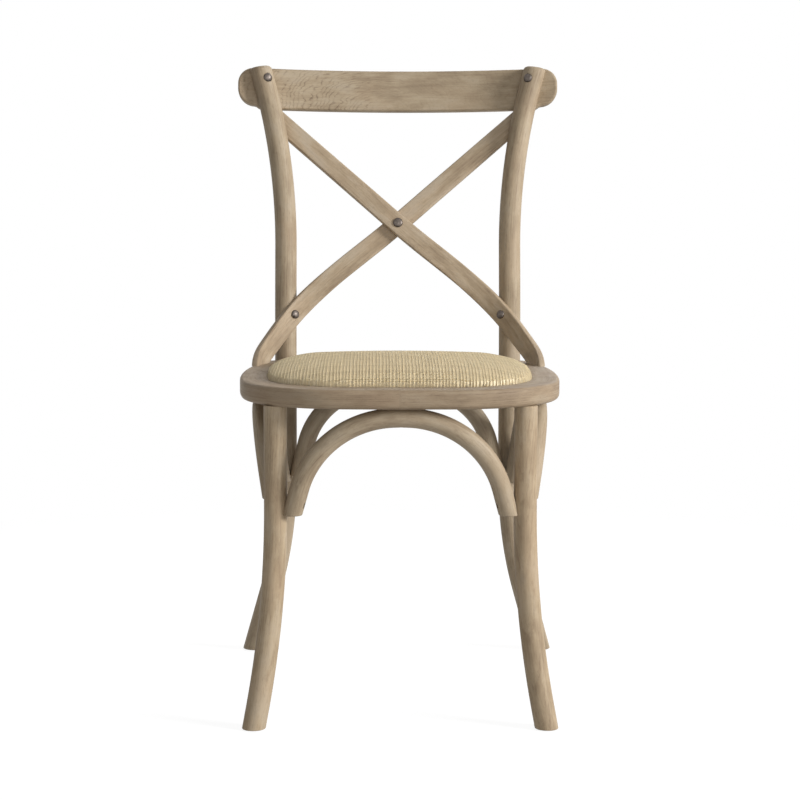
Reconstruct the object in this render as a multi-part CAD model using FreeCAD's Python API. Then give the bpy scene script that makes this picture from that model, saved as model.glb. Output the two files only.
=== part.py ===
import FreeCAD, Part
import os
from math import asin, atan, ceil, cos, degrees, hypot, pi, radians, sin, sqrt, tan
from FreeCAD import Vector

# A cross back dining chair in bent oak, in millimetres. +Z is up and the sitter faces -Y.
# X = 0 is the plane of symmetry, Z = 0 the floor, and Y = 0 half way along the chair's depth.
# "Depth" in the name of a place is a distance back from the front edge of the seat.
# Functions that take a side make the right-hand piece for 1 and its mirror twin for -1.

# Overall sizes
overall_height = 890.0
overall_width = 478.0
overall_depth = 545.0
seat_height = 455.0

# Seat ring: a flat ring of oak, rebated for the pad
seat_width = 441.0
seat_depth = 425.0
seat_widest_depth = 222.0
seat_front_radius = 1500.0
seat_side_radius = 790.0
seat_front_corner_radius = 146.0
seat_rear_corner_radius = 26.0
ring_thickness = 26.0
ring_top_bevel = 3.5
ring_bottom_bevel = 5.0
ring_margin = 39.0
rebate_depth = 13.0
ledge_width = 13.0

# Pad: plywood board, foam and a woven cover wrapped round both
pad_front_corner_radius = 112.0
pad_rear_corner_radius = 60.0
pad_clearance = 0.4
cover_thickness = 1.4
cover_turn_under = 24.0
board_thickness = 9.0
pad_edge_height = 5.0
pad_shoulder_height = 13.5
pad_shoulder_run = 18.0
pad_crown_height = 20.0
pad_crown_run = 54.0
cloth_thickness = 0.8
cloth_clearance = 1.5

# Turn of each short length in a bend, in degrees
leg_bend_step = 6.0
arch_bend_step = 12.6

# Rear legs and back posts, one bent round member each
post_spread = 333.0
post_diameter = 32.0
post_seat_notch = 6.0
post_rail_notch = 8.0
post_top_bevel = 3.0
rear_splay_height = 192.0
rear_splay_radius = 420.0
rear_splay_side = 54.0
rear_splay_back = 72.0
back_bend_height = 509.0
back_bend_radius = 900.0
post_flare_height = 752.0
post_flare_radius = 950.0
post_flare = 40.0

# Front legs
front_leg_inset = 55.0
front_leg_depth = 58.0
front_leg_diameter = 31.0
front_splay_height = 160.0
front_splay_radius = 1050.0
front_splay_side = 29.0
front_splay_forward = 30.0
tenon_diameter = 20.0
tenon_length = 18.0

# Top rail: a bowed board whose rounded ends run past the posts
rail_width = 61.0
rail_thickness = 18.0
rail_bow = 28.0
rail_below_post_top = 2.5
rail_bevel = 2.5
ear_top_radius = 24.0
ear_bottom_radius = 24.0
ear_step = 4.5
ear_step_clearance = 10.0

# Cross braces: flat bent strips
brace_width_top = 27.5
brace_width_bottom = 29.5
brace_thickness = 10.0
brace_easing = 2.0
brace_notch = 3.0
brace_crossing_height = 655.0
brace_screw_height = 522.0
brace_screw_spread = 310.0
brace_screw_turn = 40.0
brace_lower_rise = 5.5
brace_crossing_gap = 0.4
brace_straight_run = 60.0
brace_end_past_post = 10.0
brace_rail_clearance = 1.0
brace_foot_depth = 352.0
brace_foot_inset = 13.5
brace_foot_turn = 76.0

# Arches: bent rods under the seat
arch_diameter = 26.0
arch_end_height = 283.0
arch_cope = 6.0
front_arch_top_depth = 27.0
front_arch_forward = 5.0
front_arch_lean = 15.5
front_arch_radius = 134.0
rear_arch_top_depth = 399.0
rear_arch_forward = 14.0
rear_arch_lean = 14.5
rear_arch_radius = 110.0
side_arch_top_inset = 31.0
side_arch_front_end_height = 301.0
side_arch_rear_end_height = 275.0
side_arch_outward = 5.5
side_arch_lean = 12.0
side_arch_radius = 112.0

# Fasteners
shank_sides = 8
head_sides = 16
glide_sides = 20
bolt_head_sides = 6
screw_clearance = 0.2
dome_diameter = 13.0
dome_height = 4.0
dome_shank_diameter = 4.5
centre_dome_diameter = 14.5
dome_sink_in_strip = 0.4
dome_sink_in_post = 1.6
sleeve_diameter = 7.0
screw_head_diameter = 8.0
screw_head_height = 2.5
screw_diameter = 4.0
rail_screw_above_middle = 18.0
rail_screw_turn = 28.0
rail_screw_length = 32.0
brace_screw_length = 28.0
brace_foot_screw_length = 44.0
arch_screw_above_end = 14.0
arch_screw_recess = 6.0
arch_screw_bite = 13.0
arch_top_screw_bite = 15.0
front_pad_screw_spread = 120.0
rear_pad_screw_spread = 170.0
pad_screw_bite = 6.0
bolt_diameter = 6.0
bolt_head_diameter = 10.0
bolt_head_height = 6.0
bolt_recess = 9.0
bolt_past_nut = 4.0
washer_diameter = 14.0
washer_thickness = 1.2
barrel_nut_diameter = 10.0
barrel_nut_length = 16.0
barrel_nut_inset = 24.0

# Glides under the feet
glide_diameter = 22.0
glide_thickness = 3.0
glide_pin_diameter = 3.0
glide_pin_length = 14.0

# Levels and places that follow from the sizes above
UP = Vector(0, 0, 1)
seat_front = -overall_depth / 2
seat_back = seat_front + seat_depth
ring_bottom = seat_height - ring_thickness
ledge_top = seat_height - rebate_depth
board_bottom = ledge_top + cover_thickness
board_top = board_bottom + board_thickness
post_x = post_spread / 2
post_y = seat_back + post_diameter / 2 - post_seat_notch
front_leg_x = seat_width / 2 - front_leg_inset
front_leg_y = seat_front + front_leg_depth
rail_top = overall_height - rail_below_post_top
rail_radius = ((overall_width / 2) ** 2 + rail_bow ** 2) / (2 * rail_bow)
arch_top = ring_bottom - arch_diameter / 2


def sided(vector, side):
    """A vector of the right half, or its mirror twin on the left."""
    return Vector(vector.x * side, vector.y, vector.z)


def blend(low, high, share):
    return low + (high - low) * share


# Bent members: each bend is drawn as short straight lengths that touch its arc
def bend_points(before, corner, after, radius, step):
    """The mitre points of one bend, for a polyline that touches the arc from outside."""
    back = (before - corner).normalize()
    ahead = (after - corner).normalize()
    half_angle = back.getAngle(ahead) / 2
    centre = corner + (back + ahead).normalize() * (radius / sin(half_angle))
    spoke = corner + back * (radius / tan(half_angle)) - centre
    turn = 180 - 2 * degrees(half_angle)
    count = ceil(turn / step)
    stretch = 1 / cos(radians(turn / count / 2))
    axis = ahead.cross(back)
    points = []
    for i in range(count):
        swing = FreeCAD.Rotation(axis, turn * (i + 0.5) / count)
        points.append(centre + swing.multVec(spoke) * stretch)
    return points


def bent_path(corners, radii, step):
    """The points of a centre line from the first corner to the last, with rounded bends."""
    points = [corners[0]]
    for before, corner, after, radius in zip(corners, corners[1:], corners[2:], radii):
        points.extend(bend_points(before, corner, after, radius, step))
    points.append(corners[-1])
    return points


def rod(path, diameter):
    """A round member of one diameter along a path, mitred at its points."""
    section = Part.Wire([Part.makeCircle(diameter / 2, path[0], path[1] - path[0])])
    return Part.makePolygon(path).makePipeShell([section], True, False, 1)


def point_at_height(path, z):
    """The first place where a path passes a height."""
    for start, end in zip(path, path[1:]):
        if min(start.z, end.z) <= z <= max(start.z, end.z) and start.z != end.z:
            return start + (end - start) * ((z - start.z) / (end.z - start.z))
    raise ValueError("the member does not reach this height")


def extended(inner, outer, length):
    """The outer end of a run, moved on past itself so that it can be trimmed square."""
    return outer + (outer - inner).normalize() * length


def slab(low, high):
    """A broad block between two heights, to trim members level."""
    reach = 2 * (overall_width + overall_depth)
    return Part.makeBox(reach, reach, high - low, Vector(-reach / 2, -reach / 2, low))


def level_edges(shape, z):
    """The edges that lie flat at a height."""
    found = []
    for edge in shape.Edges:
        box = edge.BoundBox
        if abs(box.ZMin - z) < 0.01 and abs(box.ZMax - z) < 0.01:
            found.append(edge)
    return found


# Top rail: its lean is what makes the bowed rail reach the overall depth
def rail_drop(x):
    """How far forward of its middle the bowed rail lies at a distance from the middle."""
    return rail_radius - sqrt(rail_radius ** 2 - x ** 2)


def rail_middle(lean):
    """Centre of the rail, so that it ends at the overall depth and just below the posts' tops."""
    half_thickness = rail_thickness / 2
    rear_reach = half_thickness * cos(lean) + (rail_width / 2 - rail_bevel) * sin(lean)
    end_rise = (rail_drop(overall_width / 2 - ear_top_radius) + half_thickness) * sin(lean)
    y = overall_depth / 2 - rear_reach
    z = rail_top - rail_width / 2 * cos(lean) - end_rise
    return Vector(0, y, z)


def post_flare_at(z):
    """How far the post has moved outward at the rail's height."""
    slope = post_flare / (overall_height - post_flare_height)
    return max(z - post_flare_height, 0.0) * slope


def find_back_lean():
    """Lean of the upper posts that lets the rail into their backs by its notch."""
    lean = 0.0
    for _ in range(40):
        middle = rail_middle(lean)
        centre_gap = (rail_thickness + post_diameter) / 2 - post_rail_notch
        forward = rail_drop(post_x + post_flare_at(middle.z)) + centre_gap
        y = middle.y - forward * cos(lean)
        z = middle.z + forward * sin(lean)
        lean = atan((y - post_y) / (z - back_bend_height))
    return lean


back_lean = find_back_lean()


def post_path(side):
    """Centre line of a rear leg and post from the floor to the top."""
    upper = overall_height - post_flare_height
    splay_corner = Vector(post_x, post_y, rear_splay_height)
    foot = Vector(post_x + rear_splay_side, post_y + rear_splay_back, 0)
    back_corner = Vector(post_x, post_y, back_bend_height)
    flare_lean = (post_flare_height - back_bend_height) * tan(back_lean)
    flare_corner = Vector(post_x, post_y + flare_lean, post_flare_height)
    top = flare_corner + Vector(post_flare, upper * tan(back_lean), upper)
    corners = [
        extended(splay_corner, foot, post_diameter),
        splay_corner,
        back_corner,
        flare_corner,
        extended(flare_corner, top, post_diameter),
    ]
    radii = [rear_splay_radius, back_bend_radius, post_flare_radius]
    return bent_path([sided(corner, side) for corner in corners], radii, leg_bend_step)


def front_leg_path(side):
    """Centre line of a front leg from the floor to the underside of the seat."""
    corner = Vector(front_leg_x, front_leg_y, front_splay_height)
    foot = Vector(front_leg_x + front_splay_side, front_leg_y - front_splay_forward, 0)
    top = Vector(front_leg_x, front_leg_y, ring_bottom)
    corners = [extended(corner, foot, front_leg_diameter), corner, top]
    return bent_path([sided(point, side) for point in corners], [front_splay_radius], leg_bend_step)


POST = post_path(1)
FRONT_LEG = front_leg_path(1)


def make_post_blank(side):
    """A rear leg and post before it is notched. Its top is cut half way between level and square."""
    path = post_path(side)
    member = rod(path, post_diameter).common(slab(glide_thickness, path[-1].z))
    along = (path[-1] - path[-2]).normalize()
    facing = (along + UP).normalize()
    rise = (UP - facing * (along.z / facing.dot(along))).Length * post_diameter / 2
    rise -= post_top_bevel * sqrt(1 - facing.z ** 2)
    above = Part.makeCylinder(post_diameter, 2 * post_diameter)
    above.Placement = FreeCAD.Placement(point_at_height(path, overall_height - rise),
                                        FreeCAD.Rotation(UP, facing))
    member = member.cut(above)
    rim = [edge for edge in member.Edges if edge.BoundBox.ZMin > overall_height - post_diameter]
    return member.makeChamfer(post_top_bevel, rim)


def make_front_leg(side):
    """A front leg with the tenon that goes up into the seat ring."""
    member = rod(front_leg_path(side), front_leg_diameter).common(slab(glide_thickness, ring_bottom))
    return member.fuse(make_tenon(side))


def make_tenon(side):
    top = sided(Vector(front_leg_x, front_leg_y, ring_bottom), side)
    return Part.makeCylinder(tenon_diameter / 2, tenon_length, top)


def rail_frame():
    """The rail's own frame: X along it, Y back through its thickness, Z up across its width."""
    turn = FreeCAD.Rotation(Vector(1, 0, 0), -degrees(back_lean))
    return FreeCAD.Placement(rail_middle(back_lean), turn)


def in_rail_frame(shape):
    moved = shape.copy()
    moved.Placement = rail_frame().multiply(moved.Placement)
    return moved


def bowed_board():
    """The rail's board before its ends are shaped, in its own frame."""
    half_length = overall_width / 2 + ear_top_radius
    centre = Vector(0, -rail_radius, -rail_width / 2)
    corners = []
    for radius in (rail_radius - rail_thickness / 2, rail_radius + rail_thickness / 2):
        reach = asin(half_length / rail_radius)
        for angle in (-reach, 0.0, reach):
            corners.append(centre + Vector(radius * sin(angle), radius * cos(angle), 0))
    front_left, front_middle, front_right, back_left, back_middle, back_right = corners
    outline = Part.Wire([
        Part.Arc(front_left, front_middle, front_right).toShape(),
        Part.makeLine(front_right, back_right),
        Part.Arc(back_right, back_middle, back_left).toShape(),
        Part.makeLine(back_left, front_left),
    ])
    return Part.Face(outline).extrude(Vector(0, 0, rail_width))


def quarter(centre, radius, start):
    """A quarter circle in the XZ plane from an angle in degrees, counted from +X to +Z."""
    points = []
    for angle in (start, start + 45, start + 90):
        turn = radians(angle)
        points.append(centre + Vector(radius * cos(turn), 0, radius * sin(turn)))
    return Part.Arc(*points).toShape()


def rail_outline():
    """The rail seen from the front: a step up past each post, then a rounded ear."""
    end = overall_width / 2
    top = rail_width / 2
    low = -rail_width / 2
    ear_low = low + ear_step
    step_x = post_x + post_flare_at(rail_middle(back_lean).z) + ear_step_clearance
    right = [
        Part.makeLine(Vector(0, 0, top), Vector(end - ear_top_radius, 0, top)),
        quarter(Vector(end - ear_top_radius, 0, top - ear_top_radius), ear_top_radius, 0),
        Part.makeLine(Vector(end, 0, top - ear_top_radius), Vector(end, 0, ear_low + ear_bottom_radius)),
        quarter(Vector(end - ear_bottom_radius, 0, ear_low + ear_bottom_radius),
                ear_bottom_radius, 270),
        Part.makeLine(Vector(end - ear_bottom_radius, 0, ear_low), Vector(step_x, 0, low)),
        Part.makeLine(Vector(step_x, 0, low), Vector(0, 0, low)),
    ]
    left = [edge.mirror(Vector(), Vector(1, 0, 0)) for edge in right]
    return Part.Wire(Part.__sortEdges__(right + left))


def make_rail_blank():
    """The rail with square edges, in its own frame."""
    depth = 4 * (rail_bow + rail_thickness)
    front = Part.Face(rail_outline())
    front.translate(Vector(0, -depth / 2, 0))
    return bowed_board().common(front.extrude(Vector(0, depth, 0)))


def make_rail():
    """The finished rail with its front and back edges eased."""
    blank = make_rail_blank()
    rims = []
    for edge in blank.Edges:
        points = [edge.valueAt(blend(edge.FirstParameter, edge.LastParameter, share))
                  for share in (0.0, 0.5, 1.0)]
        depths = [hypot(point.x, point.y + rail_radius) - rail_radius for point in points]
        if all(abs(abs(depth) - rail_thickness / 2) < 0.01 for depth in depths):
            rims.append(edge)
    return in_rail_frame(blank.makeChamfer(rail_bevel, rims))


# Seat
def arc_between(centre, radius, start, end):
    """The shorter arc from start to end round a centre in the same level plane."""
    middle = centre + ((start + end) * 0.5 - centre).normalize() * radius
    return Part.Arc(start, middle, end).toShape()


def front_crossing(first, first_radius, second, second_radius):
    """Of the two places where level circles cross, the one further forward."""
    apart = second - first
    distance = apart.Length
    along = (first_radius ** 2 - second_radius ** 2 + distance ** 2) / (2 * distance)
    aside = sqrt(first_radius ** 2 - along ** 2)
    base = first + apart * (along / distance)
    offset = Vector(-apart.y, apart.x, 0) * (aside / distance)
    return min(base + offset, base - offset, key=lambda point: point.y)


def seat_outline(inset, front_corner_radius, rear_corner_radius, z):
    """Plan outline of the seat in touching arcs, moved in from the ring's outer edge."""
    front_radius = seat_front_radius - inset
    side_radius = seat_side_radius - inset
    front_centre = Vector(0, seat_front + seat_front_radius, z)
    side_centre = Vector(seat_width / 2 - seat_side_radius, seat_front + seat_widest_depth, z)
    front_corner = front_crossing(front_centre, front_radius - front_corner_radius,
                                  side_centre, side_radius - front_corner_radius)
    rear_y = seat_back - inset
    rise = rear_y - rear_corner_radius - side_centre.y
    reach = sqrt((side_radius - rear_corner_radius) ** 2 - rise ** 2)
    rear_corner = Vector(side_centre.x + reach, rear_y - rear_corner_radius, z)
    front_end = front_centre + (front_corner - front_centre).normalize() * front_radius
    side_start = side_centre + (front_corner - side_centre).normalize() * side_radius
    side_end = side_centre + (rear_corner - side_centre).normalize() * side_radius
    rear_end = Vector(rear_corner.x, rear_y, z)
    right = [
        arc_between(front_corner, front_corner_radius, front_end, side_start),
        arc_between(side_centre, side_radius, side_start, side_end),
        arc_between(rear_corner, rear_corner_radius, side_end, rear_end),
    ]
    left = [edge.mirror(Vector(), Vector(1, 0, 0)) for edge in right]
    front = arc_between(front_centre, front_radius, sided(front_end, -1), front_end)
    rear = Part.makeLine(rear_end, sided(rear_end, -1))
    return Part.Wire(Part.__sortEdges__([front, rear] + right + left))


def ring_outline(z):
    return seat_outline(0, seat_front_corner_radius, seat_rear_corner_radius, z)


def pad_outline(inset, z):
    """The rebate's wall, or a line moved in from it."""
    return seat_outline(ring_margin + inset, pad_front_corner_radius - inset,
                        pad_rear_corner_radius - inset, z)


def plate(outline, thickness):
    return Part.Face(outline).extrude(UP * thickness)


def make_ring_blank():
    return plate(ring_outline(ring_bottom), ring_thickness)


def make_ring():
    """The seat ring with its rebate, its opening and the mortises for the front legs."""
    ring = make_ring_blank()
    ring = ring.makeChamfer(ring_top_bevel, level_edges(ring, seat_height))
    ring = ring.makeChamfer(ring_bottom_bevel, level_edges(ring, ring_bottom))
    rebate = plate(pad_outline(0, ledge_top), rebate_depth)
    opening = plate(pad_outline(ledge_width, ring_bottom), ring_thickness)
    return ring.cut([rebate, opening, make_tenon(1), make_tenon(-1)])


def crowned_plate(inset, bottom, drop):
    """A plate in the pad's outline, crowned in two slopes, with its top a drop below the cover's."""
    edge_top = seat_height + pad_edge_height - drop
    shoulder_top = seat_height + pad_shoulder_height - drop
    crown_top = seat_height + pad_crown_height - drop
    sides = plate(pad_outline(inset, bottom), edge_top - bottom)
    crown = Part.makeLoft([pad_outline(inset, edge_top),
                           pad_outline(inset + pad_shoulder_run, shoulder_top),
                           pad_outline(inset + pad_crown_run, crown_top)], True, True)
    return sides.fuse(crown)


def make_pad():
    """The board, the foam on it and the cover that wraps both and turns under the board."""
    inset = pad_clearance + cover_thickness
    board = plate(pad_outline(inset, board_bottom), board_thickness)
    foam = crowned_plate(inset, board_top, cover_thickness)
    skin = crowned_plate(pad_clearance, ledge_top, 0)
    window = plate(pad_outline(pad_clearance + cover_turn_under, ledge_top), cover_thickness)
    return board, foam, skin.cut([board, foam, window])


def make_underside_cloth():
    outline = pad_outline(ledge_width + cloth_clearance, ledge_top - cloth_thickness)
    return plate(outline, cloth_thickness)


# Cross braces
def brace_height_at(x):
    """Height of a brace's straight run, with x counted towards its lower end."""
    slope = (brace_crossing_height - brace_screw_height) / (brace_screw_spread / 2)
    return brace_crossing_height - slope * x


def brace_top():
    """Middle of the strip where it lies on the back of the post at its upper end."""
    post = point_at_height(POST, brace_height_at(-post_x))
    for _ in range(20):
        post = point_at_height(POST, brace_height_at(-post.x))
    back = post_diameter / 2 + brace_thickness / 2 - brace_notch
    return Vector(-post.x, post.y + back, post.z)


def brace_normal(turn, lean):
    """The way a strip's front face looks: turned inward from the front, and leaning back."""
    return Vector(-sin(turn), -cos(turn), lean).normalize()


def brace_at_post():
    """Middle of the strip where it crosses the front of its lower post."""
    post = point_at_height(POST, brace_screw_height)
    reach = post_diameter / 2 + brace_thickness / 2 - brace_notch
    inward = post.x - brace_screw_spread / 2
    return Vector(brace_screw_spread / 2, post.y - sqrt(reach ** 2 - inward ** 2), post.z)


def brace_slope():
    """Back lean of the plane that the straight runs of both braces lie in."""
    top = brace_top()
    low = brace_at_post()
    return (top.y - low.y) / (top.z - low.z)


def brace_crossing():
    """Where the straight runs of both braces would meet."""
    low = brace_at_post()
    y = low.y + brace_slope() * (brace_crossing_height - low.z)
    return Vector(0, y, brace_crossing_height)


def brace_stations(offset):
    """Centre points and face normals of a brace that comes down on the right."""
    top = brace_top()
    low = brace_at_post()
    slope = brace_slope()
    crossing = brace_crossing()
    step_back = offset * hypot(1, slope)
    stations = []

    def straight(x, share):
        """A station in the back's plane that keeps a share of the offset at the crossing."""
        run = max(x / low.x, 0.0)
        z = brace_height_at(x) + brace_lower_rise * 6.75 * run ** 2 * (1 - run)
        y = crossing.y + slope * (z - crossing.z) + step_back * share
        stations.append((Vector(x, y, z), brace_normal(0, slope)))

    end = top.x - brace_width_top
    straight(end, 0.0)
    straight(top.x, 0.0)
    straight(top.x * 0.55, 0.6)
    for x in (-brace_straight_run / 2, 0.0, brace_straight_run / 2):
        straight(x, 1.0)
    straight(low.x * 0.62, 0.5)
    lean = slope * 0.8
    stations.append((low, brace_normal(radians(brace_screw_turn), lean)))

    # Past the post the strip swoops outward, forward and down, and turns its face inward.
    foot = Vector(seat_width / 2 - brace_foot_inset - brace_thickness / 2,
                  seat_front + brace_foot_depth, seat_height)
    swoop = foot - low
    for share in (0.25, 0.5, 0.75, 1.0, 1.3):
        out = 1 - (1 - min(share, 1.0)) ** 1.8
        down = share + 0.14 * sin(share * radians(180))
        point = low + Vector(swoop.x * out, swoop.y * share, swoop.z * down)
        turn = radians(blend(brace_screw_turn, brace_foot_turn, out))
        stations.append((point, brace_normal(turn, lean * (1 - min(share, 1.0)))))
    return stations


def eased_rectangle(width, thickness):
    """A closed section with its corners eased, width along X and thickness along Y."""
    x = width / 2
    y = thickness / 2
    core_x = x - brace_easing
    core_y = y - brace_easing
    corners = []
    for sx, sy in ((1, 1), (-1, 1), (-1, -1), (1, -1)):
        pair = [Vector(sx * x, sy * core_y, 0), Vector(sx * core_x, sy * y, 0)]
        if sx * sy < 0:
            pair.reverse()
        corners.extend(pair)
    return Part.makePolygon(corners + corners[:1])


def bent_strip(points, normals, widths, thickness):
    """A flat bent member through the points, with its broad face turned to the normals."""
    sections = []
    last = len(points) - 1
    for i, (point, normal, width) in enumerate(zip(points, normals, widths)):
        along = (points[min(i + 1, last)] - points[max(i - 1, 0)]).normalize()
        section = eased_rectangle(width, thickness)
        turn = FreeCAD.Rotation(normal.cross(along), Vector(), along, "ZXY")
        section.Placement = FreeCAD.Placement(point, turn)
        sections.append(section)
    return Part.makeLoft(sections, True, False)


def make_brace(side, offset):
    """A brace that comes down on a side, trimmed to sit on the seat and under the rail."""
    stations = brace_stations(offset)
    points = [sided(point, side) for point, _ in stations]
    normals = [sided(normal, side) for _, normal in stations]
    top_x = stations[0][0].x
    low_x = brace_at_post().x
    widths = []
    for point, _ in stations:
        share = min((point.x - top_x) / (low_x - top_x), 1.0)
        widths.append(blend(brace_width_top, brace_width_bottom, share))
    strip = bent_strip(points, normals, widths, brace_thickness)
    reach = 2 * overall_width
    above = Part.makeBox(reach, reach, reach, Vector(-reach / 2, -reach / 2, -rail_width / 2))
    above.translate(Vector(0, 0, -brace_rail_clearance))
    end_x = brace_top().x - brace_end_past_post
    beyond = Part.makeBox(reach, reach, reach, Vector(end_x - reach, -reach / 2, seat_height))
    if side < 0:
        beyond = beyond.mirror(Vector(), Vector(1, 0, 0))
    return strip.common(slab(seat_height, overall_height)).cut([in_rail_frame(above), beyond])


# Arches
def cross_arch_path(end, top_y, lean, radius):
    """Centre line of an arch between a left and a right leg; end is its right-hand foot."""
    shoulder_x = end.x - (arch_top - end.z) * tan(radians(lean))
    shoulder = Vector(shoulder_x, top_y, arch_top)
    below = extended(shoulder, end, arch_diameter)
    corners = [sided(below, -1), sided(shoulder, -1), shoulder, below]
    return bent_path(corners, [radius, radius], arch_bend_step)


def coped_gap(leg_diameter):
    """Distance between the centres of a leg and of a rod that is coped onto it."""
    return (leg_diameter + arch_diameter) / 2 - arch_cope


def front_arch_path():
    leg = point_at_height(FRONT_LEG, arch_end_height)
    aside = sqrt(coped_gap(front_leg_diameter) ** 2 - front_arch_forward ** 2)
    end = leg + Vector(-aside, -front_arch_forward, 0)
    return cross_arch_path(end, seat_front + front_arch_top_depth, front_arch_lean, front_arch_radius)


def rear_arch_path():
    leg = point_at_height(POST, arch_end_height)
    aside = sqrt(coped_gap(post_diameter) ** 2 - rear_arch_forward ** 2)
    end = leg + Vector(-aside, -rear_arch_forward, 0)
    return cross_arch_path(end, seat_front + rear_arch_top_depth, rear_arch_lean, rear_arch_radius)


def side_arch_path(side):
    """Centre line of a side arch, which bows outward to follow the seat ring."""
    front_leg = point_at_height(FRONT_LEG, side_arch_front_end_height)
    rear_leg = point_at_height(POST, side_arch_rear_end_height)
    front_gap = sqrt(coped_gap(front_leg_diameter) ** 2 - side_arch_outward ** 2)
    rear_gap = sqrt(coped_gap(post_diameter) ** 2 - side_arch_outward ** 2)
    front_end = front_leg + Vector(side_arch_outward, front_gap, 0)
    rear_end = rear_leg + Vector(side_arch_outward, -rear_gap, 0)
    lean = tan(radians(side_arch_lean))
    top_x = seat_width / 2 - side_arch_top_inset
    front_shoulder = Vector(top_x, front_end.y + (arch_top - front_end.z) * lean, arch_top)
    rear_shoulder = Vector(top_x, rear_end.y - (arch_top - rear_end.z) * lean, arch_top)
    corners = [
        extended(front_shoulder, front_end, arch_diameter),
        front_shoulder,
        rear_shoulder,
        extended(rear_shoulder, rear_end, arch_diameter),
    ]
    return bent_path([sided(corner, side) for corner in corners],
                     [side_arch_radius, side_arch_radius], arch_bend_step)


def make_cross_arch(path, legs):
    """The front or rear arch with level ends, coped onto the legs that it joins."""
    return rod(path, arch_diameter).common(slab(arch_end_height, ring_bottom)).cut(legs)


def make_side_arch(side, legs):
    """A side arch, whose front end stops higher than its rear end."""
    member = rod(side_arch_path(side), arch_diameter)
    below_front = slab(0, side_arch_front_end_height)
    below_front.translate(Vector(0, below_front.BoundBox.YMin, 0))
    return member.common(slab(side_arch_rear_end_height, ring_bottom)).cut([below_front] + legs)


# Fasteners: each is made with its seat at the origin and its shank down -Z, then aimed.
# They repeat, so their round parts are many-sided prisms.
def aimed(shape, seat, direction):
    moved = shape.copy()
    moved.Placement = FreeCAD.Placement(seat, FreeCAD.Rotation(Vector(0, 0, -1), direction))
    return moved


def polygon(sides, radius, z):
    points = []
    for i in range(sides):
        turn = 2 * pi * i / sides
        points.append(Vector(radius * cos(turn), radius * sin(turn), z))
    return Part.makePolygon(points + points[:1])


def prism(sides, diameter, low, high):
    return Part.Face(polygon(sides, diameter / 2, low)).extrude(Vector(0, 0, high - low))


def make_dome(diameter):
    """A screw head with a low rim and a domed top in one slope."""
    rim = dome_height / 3
    slope = Part.makeLoft([polygon(head_sides, diameter / 2, rim),
                           polygon(head_sides, diameter / 4, dome_height)], True, True)
    return prism(head_sides, diameter, 0, rim).fuse(slope)


def domed_screw(seat, direction, length):
    """A domed screw and the room that it takes."""
    play = 2 * screw_clearance
    shank = prism(shank_sides, dome_shank_diameter, -length, 0)
    hole = prism(shank_sides, dome_shank_diameter + play, -length - screw_clearance, 0)
    spot_face = prism(head_sides, dome_diameter + play, 0, dome_height)
    return (aimed(make_dome(dome_diameter).fuse(shank), seat, direction),
            aimed(hole.fuse(spot_face), seat, direction))


def plain_screw(seat, direction, length, recess):
    """A flat headed wood screw and the room that it takes, with a counterbore above its head."""
    play = 2 * screw_clearance
    head = prism(shank_sides, screw_head_diameter, 0, screw_head_height)
    shank = prism(shank_sides, screw_diameter, -length, 0)
    hole = prism(shank_sides, screw_diameter + play, -length - screw_clearance, 0)
    counterbore = prism(shank_sides, screw_head_diameter + play, 0, recess)
    return aimed(head.fuse(shank), seat, direction), aimed(hole.fuse(counterbore), seat, direction)


def rail_screws():
    """Through the inner front of each post into the rail."""
    pairs = []
    height = rail_middle(back_lean).z + rail_screw_above_middle
    post = point_at_height(POST, height)
    turn = radians(rail_screw_turn)
    direction = Vector(sin(turn), cos(turn), -tan(back_lean) * cos(turn)).normalize()
    seat = post - direction * (post_diameter / 2 - dome_sink_in_post)
    for side in (-1, 1):
        pairs.append(domed_screw(sided(seat, side), sided(direction, side), rail_screw_length))
    return pairs


def brace_lower_screws():
    """Through each strip into the front of its lower post."""
    pairs = []
    normal = brace_normal(radians(brace_screw_turn), brace_slope() * 0.8)
    seat = brace_at_post() + normal * (brace_thickness / 2 - dome_sink_in_strip)
    for side in (-1, 1):
        pairs.append(domed_screw(sided(seat, side), sided(normal * -1, side), brace_screw_length))
    return pairs


def brace_upper_screws():
    """From behind through each strip's upper end into the back of its post."""
    pairs = []
    normal = brace_normal(0, brace_slope())
    seat = brace_top() - normal * (brace_thickness / 2 - dome_sink_in_strip)
    for side in (-1, 1):
        pairs.append(domed_screw(sided(seat, side), normal, brace_screw_length))
    return pairs


def brace_foot_screws():
    """From under the seat ring up into each strip's foot."""
    pairs = []
    x = seat_width / 2 - brace_foot_inset - brace_thickness / 2
    seat = Vector(x, seat_front + brace_foot_depth, ring_bottom)
    for side in (-1, 1):
        pairs.append(plain_screw(sided(seat, side), UP, brace_foot_screw_length, screw_head_height))
    return pairs


def centre_fixing(offset):
    """The screw and the sleeve nut that clamp the two strips at the crossing."""
    normal = brace_normal(0, brace_slope())
    reach = offset + brace_thickness / 2 - dome_sink_in_strip
    front = brace_crossing() + normal * reach
    back = brace_crossing() - normal * reach
    grip = (front - back).Length
    play = 2 * screw_clearance
    shank = prism(shank_sides, dome_shank_diameter, screw_clearance - grip, 0)
    sleeve = prism(shank_sides, sleeve_diameter, screw_clearance - grip, 0)
    bore = prism(shank_sides, dome_shank_diameter + play, -grip, 0)
    hole = prism(shank_sides, sleeve_diameter + play, -grip, 0)
    room = hole.fuse(prism(head_sides, centre_dome_diameter + play, 0, dome_height))
    head = make_dome(centre_dome_diameter)
    return ((aimed(head.fuse(shank), front, normal * -1), aimed(room, front, normal * -1)),
            (aimed(head.fuse(sleeve).cut(bore), back, normal), aimed(room, back, normal)))


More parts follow.
